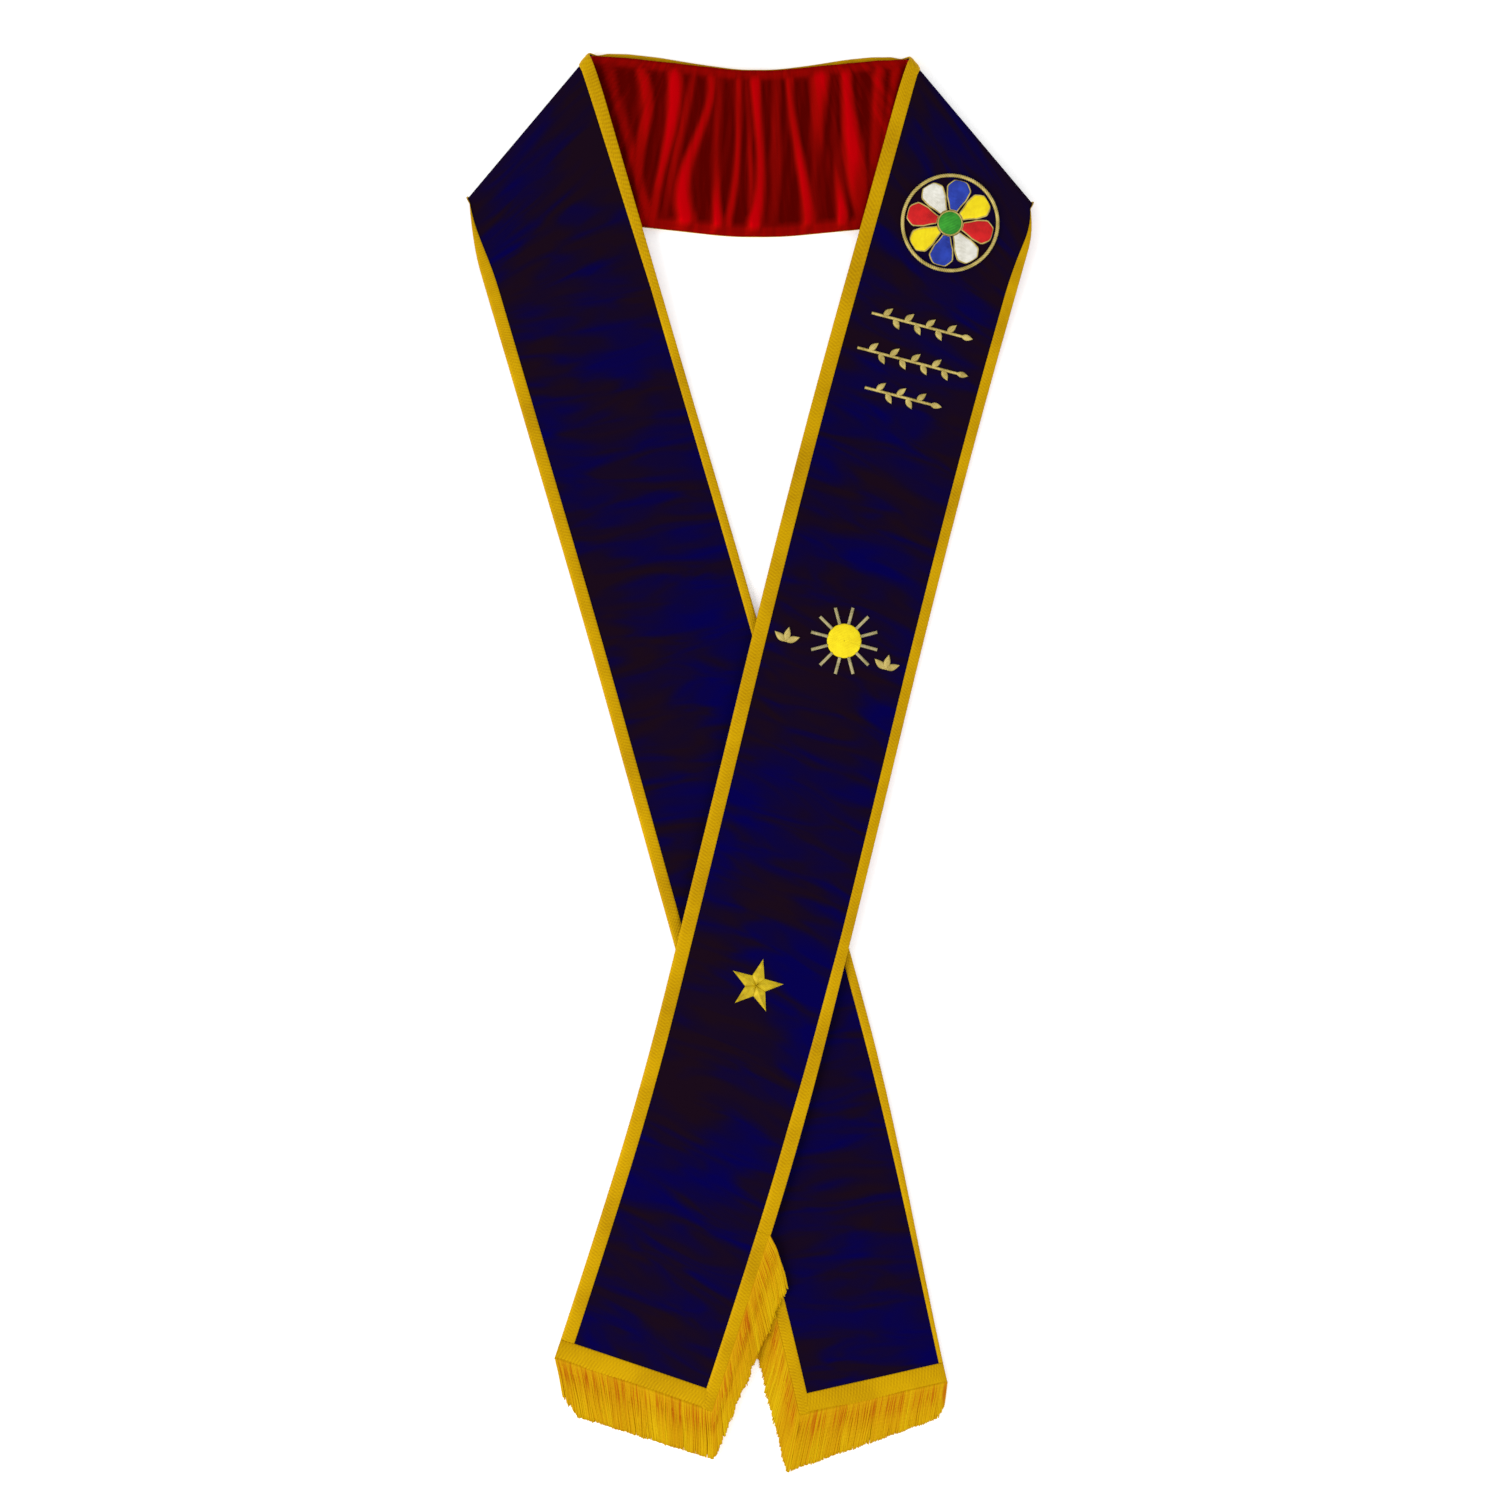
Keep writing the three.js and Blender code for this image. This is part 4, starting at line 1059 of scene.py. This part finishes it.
# Heights of the first layer and steps to the next: at the header, and on the bed
ROOT_HEIGHT, ROOT_STEP = 1.8, 0.2
LYING_HEIGHT, LYING_STEP = 0.08, 0.38
# Near the header this share of the threads shows an orange side: how deep, where and how long
STREAKED, STREAK_DEPTH, STREAK_AT, STREAK_LENGTH = 0.28, 0.45, 7, 8
TINT, LOCK_TINT, THREAD_TINT, TIP_TINT = 0.55, 0.12, 0.06, 0.1


def make_threads(name, half, measures, ground, seed, node):
    draw = np.random.RandomState(seed)
    roots = thread_roots(half, measures, draw)
    count = len(roots)
    lock = np.floor(roots[:, PLACE] / LOCK_WIDTH + draw.uniform(-0.3, 0.3, count)).astype(int)
    of_lock = draw.uniform(-1, 1, (200, 3))[lock % 200]
    lean = LOCK_LEAN * of_lock[:, 0] + draw.normal(0, THREAD_LEAN, count)
    turn = np.radians(roots[:, TURN] + lean)
    length = roots[:, LENGTH] + draw.uniform(-LENGTH_SPREAD, LENGTH_SPREAD, count)
    s = STATIONS[None, :] * length[:, None]
    phase = 3 * of_lock[:, 2][:, None]
    sway = LOCK_SWAY * of_lock[:, 1][:, None] * np.sin(s / SWAY_PITCH + phase)
    sway = (sway + draw.normal(0, THREAD_SWAY, (count, 1)) * (s / 20)) * smooth(s, 0, SWAY_FROM)
    flat, sideways, s, dropped, level = thread_lines(roots, turn, length, sway, ground)
    layer = roots[:, LAYER][:, None]
    lying = bed_height(s, length) + LYING_HEIGHT + LYING_STEP * layer - ARM_LEVEL
    height = level + (ROOT_HEIGHT + ROOT_STEP * layer) * (1 - dropped) + lying * dropped
    # No two threads lie at the same height, because the render goes black where faces coincide.
    height = height + draw.normal(0, HEIGHT_SPREAD, (count, 1)) * smooth(s, 0, 3)
    thick = THREAD_RADIUS * np.interp(STATIONS, [-0.03, 0.03, 0.9, 1], [0.8, 1.0, 1.0, 0.8])
    points, faces, around = tubes(flat, sideways, height, thick)
    streaked = draw.uniform(0, 1, count) < STREAKED
    streak = streaked[:, None] * np.exp(-((s - STREAK_AT) / STREAK_LENGTH) ** 2)
    tint = TINT + LOCK_TINT * of_lock[:, 2] + draw.normal(0, THREAD_TINT, count)
    tint = tint[:, None] - STREAK_DEPTH * streak + TIP_TINT * smooth(STATIONS, 0.3, 0.8)[None, :]
    along = np.repeat(s[:, :, None], len(around), axis=2)
    about = np.broadcast_to(around[None, None, :] * THREAD_RADIUS, along.shape)
    mark = texture_place(about, along)
    beds = [fringe_bed(half, measures, edge, ground) for edge in THREAD_COUNTS]
    marks = {
        "tint": np.concatenate([np.repeat(tint.ravel(), len(around))] + [bed[1] for bed in beds]),
        "run": np.vstack([mark] + [bed[2] for bed in beds]),
    }
    piece = make_piece(name, [(points, faces)] + [bed[0] for bed in beds], marks)
    print(name + ":", count, "threads")
    return dress(piece, fringe_rayon, "gold_fringe", node)


over_threads = make_threads(
    "over_fringe_threads", over, OVER_FRINGE, crossing_ground, 5, "over_fringe"
)
under_threads = make_threads(
    "under_fringe_threads", under, UNDER_FRINGE, table_ground, 6, "under_fringe"
)

# %% [markdown]
# ## Embroidery
#
# The badges are satin stitch over padding: rows of thread lie side by side, and the shape is
# higher in the middle than at its edge. Painted stitches would look flat, so each leaf, petal,
# ray and disc is a grid of its own, with the stitches as fine ridges in the mesh. The stitches
# are 0.9 mm wide here, about twice the real thread, so that they show.

# %% The height of the velvet's face under a stitch
velvet_points, velvet_faces = velvet_part
velvet_tree = BVHTree.FromPolygons(velvet_points.tolist(), velvet_faces.tolist())


def velvet_top(flat):
    """Heights at a grid of flat places, found by rays cast down from well above the sash."""
    above, down = 60, Vector((0, 0, -1))
    found = [velvet_tree.ray_cast(Vector((x, y, above)), down)[0] for x, y in flat.reshape(-1, 2)]
    return np.array([hit.z for hit in found]).reshape(flat.shape[:-1])


# %% Flat places turned and moved
def turned(x, y, degrees, start=(0, 0)):
    turn = math.radians(degrees)
    return np.stack([
        start[0] + x * math.cos(turn) - y * math.sin(turn),
        start[1] + x * math.sin(turn) + y * math.cos(turn),
    ], axis=-1)


def on_band(flat, place):
    """A shape's own flat places, taken to its place on the band."""
    return turned(flat[..., 0], flat[..., 1], place["turn"], (place["x"], place["y"]))


# %% One padded shape, from a grid of flat places and heights
STITCH = 0.9
STITCH_HEIGHT = 0.11
EDGE_HEIGHT = 0.45
# A shape is sunk this far into the velvet, so that no light passes under its edge.
SUNK = 0.06


def padded_shape(flat, heights, along, place):
    """Lays a shape on the velvet at its place; along is the distance across its stitches."""
    flat = on_band(flat, place)
    base = velvet_top(flat)
    stitch = np.cos(2 * math.pi * along / STITCH)
    top = with_heights(flat, base + heights + STITCH_HEIGHT * stitch)
    # The stitch mark is painted light: a highlight on each stitch's crown and shade between stitches.
    shine = 0.5 + 0.5 * stitch.ravel()
    return slab(top, with_heights(flat, base - SUNK)), np.concatenate([shine, shine])


def padding(share, rise=1.25):
    """share is 0 at the middle of the shape and 1 at its edge."""
    return EDGE_HEIGHT + (rise - EDGE_HEIGHT) * np.sqrt(np.clip(1 - share ** 2, 0, 1))


# %% Leaves, bars, discs, petals and star points as grids
# Each gives its flat places, its heights and the distance across its slanting stitches. In them
# w runs across the shape from -1 to 1, and rise is the padding's height in the middle.
ROWS_PER_STITCH = 5


def stitched_rows(length, fewest):
    return max(fewest, round(length / STITCH * ROWS_PER_STITCH))


def leaf_grid(foot, angle, length, width):
    """Widest before its middle, from a narrow foot to a point."""
    t, w = np.meshgrid(
        np.linspace(0, 1, stitched_rows(length, 12)), np.linspace(-1, 1, 9), indexing="ij"
    )
    fullest, foot_width, slant = 0.85, 0.22, -0.5
    wide = width / 2 * np.maximum(np.sin(math.pi * t ** fullest), foot_width * (1 - t))
    x, y = t * length, w * wide
    return turned(x, y, angle, foot), padding(np.abs(w)), x + slant * np.abs(y)


def bar_grid(start, end, width, angle=0.0):
    along = np.linspace(start, end, stitched_rows(end - start, 8))
    x, w = np.meshgrid(along, np.linspace(-1, 1, 9), indexing="ij")
    y = w * width / 2
    slant = 0.3
    return turned(x, y, angle), padding(np.abs(w), rise=1.1), x + slant * y


def disc_grid(radius):
    around = np.linspace(0, 2 * math.pi, 97)
    r, a = np.meshgrid(np.linspace(0.02, 1, 26) * radius, around, indexing="ij")
    flat = np.stack([r * np.cos(a), r * np.sin(a)], axis=-1)
    return flat, padding(r / radius, rise=1.45), flat[..., 1]


# Radii in the badge from a petal's foot to its tip, and its half widths there in degrees
PETAL_RADII = (8.2, 16.0, 22.4, 25.8)
PETAL_HALF_WIDTHS = (15.375, 20.5, 18.45, 8.61)


def petal_grid(angle):
    radii = np.linspace(PETAL_RADII[0], PETAL_RADII[-1], 92)
    r, w = np.meshgrid(radii, np.linspace(-1, 1, 17), indexing="ij")
    a = np.radians(angle + w * np.interp(r, PETAL_RADII, PETAL_HALF_WIDTHS))
    flat = np.stack([r * np.cos(a), r * np.sin(a)], axis=-1)
    slant = 0.12
    return flat, padding(np.abs(w), rise=1.4), r + slant * r * np.abs(w)


def star_point_grid(angle, outer, inner):
    """A kite from the star's middle to one tip; the stitches slant down from its ridge."""
    t, w = np.meshgrid(np.linspace(0, 1, 64), np.linspace(-1, 1, 17), indexing="ij")
    corner_x = inner * math.cos(math.radians(36))
    corner_y = inner * math.sin(math.radians(36))
    x = t * outer
    wide = np.where(x < corner_x, x / corner_x, (outer - x) / (outer - corner_x)) * corner_y
    y = w * wide
    ridge_height, tip_fall, slant = 1.1, 4, 0.7
    ridge = EDGE_HEIGHT + ridge_height * (1 - np.abs(w)) * smooth(outer - x, 0, tip_fall)
    return turned(x, y, angle), ridge, x + slant * np.abs(y)


# %% Thread finishes
def make_thread(name, dark, light, metallic):
    """Embroidery thread: silky, with a painted highlight on the crown of each stitch and painted
    shade between them.
    """
    finish, tree, output = new_finish(name)
    stitch = add_node(tree, "ShaderNodeAttribute", attribute_name="stitch")
    place = add_node(tree, "ShaderNodeNewGeometry")
    patches = add_node(tree, "ShaderNodeTexNoise", {
        "Vector": place.outputs["Position"], "Scale": 160.0, "Detail": 3.0, "Roughness": 0.6,
    })
    shade = add_node(tree, "ShaderNodeMath", {
        0: stitch.outputs["Fac"], 1: 0.45, 2: patches.outputs["Fac"],
    }, operation="MULTIPLY_ADD")
    tones = add_node(tree, "ShaderNodeValToRGB", {0: shade.outputs[0]}, stops=[
        (0.42, dark), (1.0, light),
    ])
    shader = add_node(tree, "ShaderNodeBsdfPrincipled", {
        "Base Color": tones.outputs[0],
        "Metallic": metallic,
        "Roughness": 0.45,
        "Specular IOR Level": 0.2,
    })
    tree.links.new(shader.outputs[0], output.inputs["Surface"])
    return finish


threads = {
    "gold_thread": make_thread("gold_metallised_thread", "#8C7830", "#DCC878", 0.25),
    "yellow_thread": make_thread("yellow_rayon_thread", "#E4C804", "#FAE614", 0.05),
    "red_thread": make_thread("red_rayon_thread", "#A80C10", "#E01C1E", 0.05),
    "blue_thread": make_thread("blue_rayon_thread", "#14247A", "#2E4AC0", 0.05),
    "white_thread": make_thread("white_rayon_thread", "#C0BCAC", "#F4F2E8", 0.0),
    "green_thread": make_thread("green_rayon_thread", "#1C6E1E", "#40AC30", 0.05),
}
ray_thread = make_thread("grey_gold_thread", "#7C7448", "#C4B888", 0.2)
star_thread = make_thread("bright_gold_thread", "#A08408", "#E4C81C", 0.2)
print("threads:", ", ".join(threads))


def add_embroidery(name, shapes, slot, nodes, finish=None):
    """shapes are pairs of a part and its stitch marks."""
    parts, stitches = zip(*shapes)
    piece = make_piece(name, parts, {"stitch": np.concatenate(stitches)})
    return dress(piece, finish or threads[slot], slot, *nodes)


# %% [markdown]
# ## The round badge
#
# Eight petals in four colours stand round a green eye, in a ring of twisted gold cord. Three
# strands could be wound round each other, but at 1 or 2 mm that looks the same as one tube whose
# radius has three lobes that turn as they go along it, and the tube needs fewer faces.

# %% A cord laid along a closed flat line on the velvet
CORD_LOBES = 3
# The cord's mean radius and its lobes, as shares of its outer radius
CORD_BODY, LOBE_HEIGHT = 0.88, 0.14


def cord_part(line, place, radius, twist_pitch, sides):
    flat = on_band(line, place)
    height = velvet_top(flat) + radius
    ahead = np.roll(flat, -1, axis=0) - np.roll(flat, 1, axis=0)
    ahead = ahead / np.linalg.norm(ahead, axis=1)[:, None]
    sideways = np.column_stack([-ahead[:, 1], ahead[:, 0]])
    gaps = np.linalg.norm(np.diff(flat, axis=0), axis=1)
    along = np.concatenate([[0], np.cumsum(gaps)])
    around = 2 * math.pi * np.arange(sides) / sides
    phase = CORD_LOBES * around[None, :] - 2 * math.pi * along[:, None] / twist_pitch
    thick = radius * (CORD_BODY + LOBE_HEIGHT * np.cos(phase))
    rings = np.empty((len(flat), sides, 3))
    rings[..., :2] = flat[:, None, :] + sideways[:, None, :] * (np.cos(around) * thick)[..., None]
    rings[..., 2] = height[:, None] + np.sin(around) * thick
    index = np.arange(len(flat) * sides).reshape(len(flat), sides)
    after = np.roll(index, -1, axis=0)
    walls = np.stack([
        index, np.roll(index, -1, axis=1), np.roll(after, -1, axis=1), after
    ], axis=-1).reshape(-1, 4)
    # The stitch mark here paints a highlight on each lobe of the cord and shade between them.
    shine = 0.5 + 0.5 * np.cos(phase).ravel()
    return (rings.reshape(-1, 3), walls), shine


# %% The petals, the eye and the cords of the badge
badge = {"x": 119, "y": 320.5, "turn": -15}
petal_colours = ("red", "yellow", "blue", "white")
petal_angles = [45 * i for i in range(8)]
embroidery = []
for first, colour in enumerate(petal_colours):
    # Each colour has two petals that face each other.
    mine = (first, first + 4)
    shapes = [padded_shape(*petal_grid(petal_angles[i]), badge) for i in mine]
    nodes = [f"rosette_petal_{i + 1}_{colour}" for i in mine]
    embroidery.append(add_embroidery(f"petals_{colour}", shapes, f"{colour}_thread", nodes))
shapes = [padded_shape(*disc_grid(7), badge)]
embroidery.append(add_embroidery("badge_eye", shapes, "green_thread", ["rosette_eye"]))


def ring_line(radius, count):
    around = 2 * math.pi * np.arange(count) / count
    return radius * np.stack([np.cos(around), np.sin(around)], axis=-1)


def petal_line(angle):
    flat = petal_grid(angle)[0]
    rim = [flat[::4, 0], flat[-1, 1:-1:2], flat[::-4, -1], flat[0, -2:0:-2]]
    return np.vstack(rim)


badge_cords = [cord_part(ring_line(28.5, 420), badge, radius=1.15, twist_pitch=1.3, sides=12)]
for angle in petal_angles:
    badge_cords.append(cord_part(petal_line(angle), badge, radius=0.5, twist_pitch=1.2, sides=8))
badge_cords.append(cord_part(ring_line(7.2, 90), badge, radius=0.55, twist_pitch=1.2, sides=8))
embroidery.append(add_embroidery("badge_cords", badge_cords, "gold_thread", ["rosette_ring"]))

# %% [markdown]
# ## Leaf rows, sun and star
#
# Three rows of leaves on a stem, a sun with twelve rays between two small sprigs, and a plain
# five-pointed star, all in gold thread but for the sun's yellow face. They are built from the
# few grids above, each turned to its place, as an embroidery machine builds its figures.

# %% Rows of leaves
sprig_turn = -14.5
stem_width = 1.6
leaf_length, leaf_width, leaf_angle = 7.4, 3.6, 50
sprig_rows = [
    {"x": 101.3, "y": 259.5, "length": 60, "leaves": 7},
    {"x": 95.6, "y": 238.2, "length": 66, "leaves": 8},
    {"x": 90.0, "y": 217.0, "length": 45, "leaves": 5},
]
for number, row in enumerate(sprig_rows, start=1):
    place = {"x": row["x"], "y": row["y"], "turn": sprig_turn}
    stem = row["length"] - leaf_length
    pitch = stem / (row["leaves"] + 1)
    shapes = [bar_grid(-row["length"] / 2, stem / 2, stem_width)]
    for i in range(1, row["leaves"] + 1):
        foot = (-stem / 2 + pitch * (i - 0.5), 0)
        up = 1 if i % 2 else -1
        shapes.append(leaf_grid(foot, up * leaf_angle, leaf_length, leaf_width))
    shapes.append(leaf_grid((stem / 2 - 1, 0), 0, leaf_length, leaf_width))
    shapes = [padded_shape(*shape, place) for shape in shapes]
    piece = add_embroidery(f"leaf_row_{number}", shapes, "gold_thread", [f"sprig_row_{number}"])
    embroidery.append(piece)

# %% The sun and its sprigs
sun = {"x": 55.7, "y": 70.5, "turn": -15}
ray_from, ray_to, ray_width = 10.2, 20.5, 1.9
face = [padded_shape(*disc_grid(10.3), sun)]
disc = add_embroidery("sun_face", face, "yellow_thread", ["sun_disc"])
rays = [padded_shape(*bar_grid(ray_from, ray_to, ray_width, 30 * i), sun) for i in range(12)]
ray_nodes = [f"sun_ray_{i}" for i in range(1, 13)]
embroidery += [disc, add_embroidery("sun_rays", rays, "gold_thread", ray_nodes, ray_thread)]
foot, length, width = (0, -4), 9, 4
for name, x, y in (("sun_sprig_left", 21.5, 74), ("sun_sprig_right", 81.4, 57.4)):
    place = {"x": x, "y": y, "turn": sprig_turn}
    grids = [leaf_grid(foot, angle, length, width) for angle in (150, 90, 30)]
    leaves = [padded_shape(*grid, place) for grid in grids]
    embroidery.append(add_embroidery(name + "_leaves", leaves, "gold_thread", [name]))

# %% The star
star = {"x": 2.9, "y": -136, "turn": -15}
tip_radius, notch_radius = 16.4, 6.5
tips = [90 + 72 * i for i in range(5)]
points = [padded_shape(*star_point_grid(tip, tip_radius, notch_radius), star) for tip in tips]
star_piece = add_embroidery("star_points", points, "gold_thread", ["plain_star"], star_thread)
embroidery.append(star_piece)

# %% [markdown]
# ## What is a sheet of cloth
#
# The velvet and the lining are sheets, and a program that lets cloth fall has to know their flat
# sizes: the band's width, and its length along the middle line. No step here gives them; the
# braids, fringe and embroidery are sewn on the velvet, and every piece hangs on the same root.

# %% [markdown]
# ## Floor, light and camera
#
# The photograph is taken from straight above in even light, on white. A light table gives such
# a ground, so the floor glows a little and the shadows stay faint. The camera stands 2.5 m
# above the table, and its lens is chosen so that the frame is 0.9006 m wide at the cloth. A
# large soft light stands to the left and a weaker one to the right, so that the ridges have a
# bright and a dark side.

# %% The floor
def make_floor():
    finish, tree, output = new_finish("white_paper_floor")
    place = add_node(tree, "ShaderNodeNewGeometry")
    grain = add_node(tree, "ShaderNodeTexNoise", {
        "Vector": place.outputs["Position"], "Scale": 60.0, "Detail": 2.0,
    })
    tones = add_node(tree, "ShaderNodeValToRGB", {0: grain.outputs["Fac"]}, stops=[
        (0.0, grey(0.97)), (1.0, grey(0.99)),
    ])
    shader = add_node(tree, "ShaderNodeBsdfPrincipled", {
        "Base Color": tones.outputs[0], "Roughness": 0.9, "Specular IOR Level": 0.1,
        "Emission Color": grey(1.0), "Emission Strength": 0.3,
    })
    tree.links.new(shader.outputs[0], output.inputs["Surface"])
    # It reaches far out, so that its edge stays out of low views too.
    half_size, floor_level = 30.0, -0.0003
    signs = ((-1, -1), (1, -1), (1, 1), (-1, 1))
    corners = [(x * half_size, y * half_size, floor_level) for x, y in signs]
    mesh = bpy.data.meshes.new("floor")
    mesh.from_pydata(corners, [], [(0, 1, 2, 3)])
    floor = bpy.data.objects.new("floor", mesh)
    bpy.context.scene.collection.objects.link(floor)
    mesh.materials.append(finish)


make_floor()

# %% The lights
def add_soft_light(name, location, size, power):
    lamp = bpy.data.lights.new(name, "AREA")
    lamp.shape = "SQUARE"
    lamp.size = size
    lamp.energy = power
    light = bpy.data.objects.new(name, lamp)
    light.location = location
    aim = Vector((0, 0.05, 0)) - Vector(location)
    light.rotation_mode = "QUATERNION"
    light.rotation_quaternion = aim.to_track_quat("-Z", "Y")
    bpy.context.scene.collection.objects.link(light)


add_soft_light("key_light", (-1.7, -0.6, 1.5), size=1.3, power=28)
add_soft_light("fill_light", (1.6, -1.4, 1.7), size=1.4, power=13)
sky = bpy.data.worlds.new("soft_white_room")
sky.use_nodes = True
sky.node_tree.nodes["Background"].inputs["Color"].default_value = grey(1.0)
sky.node_tree.nodes["Background"].inputs["Strength"].default_value = 0.76
bpy.context.scene.world = sky

# %% The camera, straight above
FRAME_SIDE = 0.9006
CAMERA_HEIGHT = 2.5
CLOTH_HEIGHT = 0.003
FRAME_CENTRE = (0.00025, 0.00687)
eye_lens = bpy.data.cameras.new("camera")
eye_lens.sensor_width = 36.0
eye_lens.lens = eye_lens.sensor_width * (CAMERA_HEIGHT - CLOTH_HEIGHT) / FRAME_SIDE
camera = bpy.data.objects.new("camera", eye_lens)
camera.location = (*FRAME_CENTRE, CAMERA_HEIGHT)
bpy.context.scene.collection.objects.link(camera)
bpy.context.scene.camera = camera
bpy.context.scene.view_settings.view_transform = "Standard"
bpy.context.scene.view_settings.look = "None"
print("lens:", round(eye_lens.lens, 1), "mm")
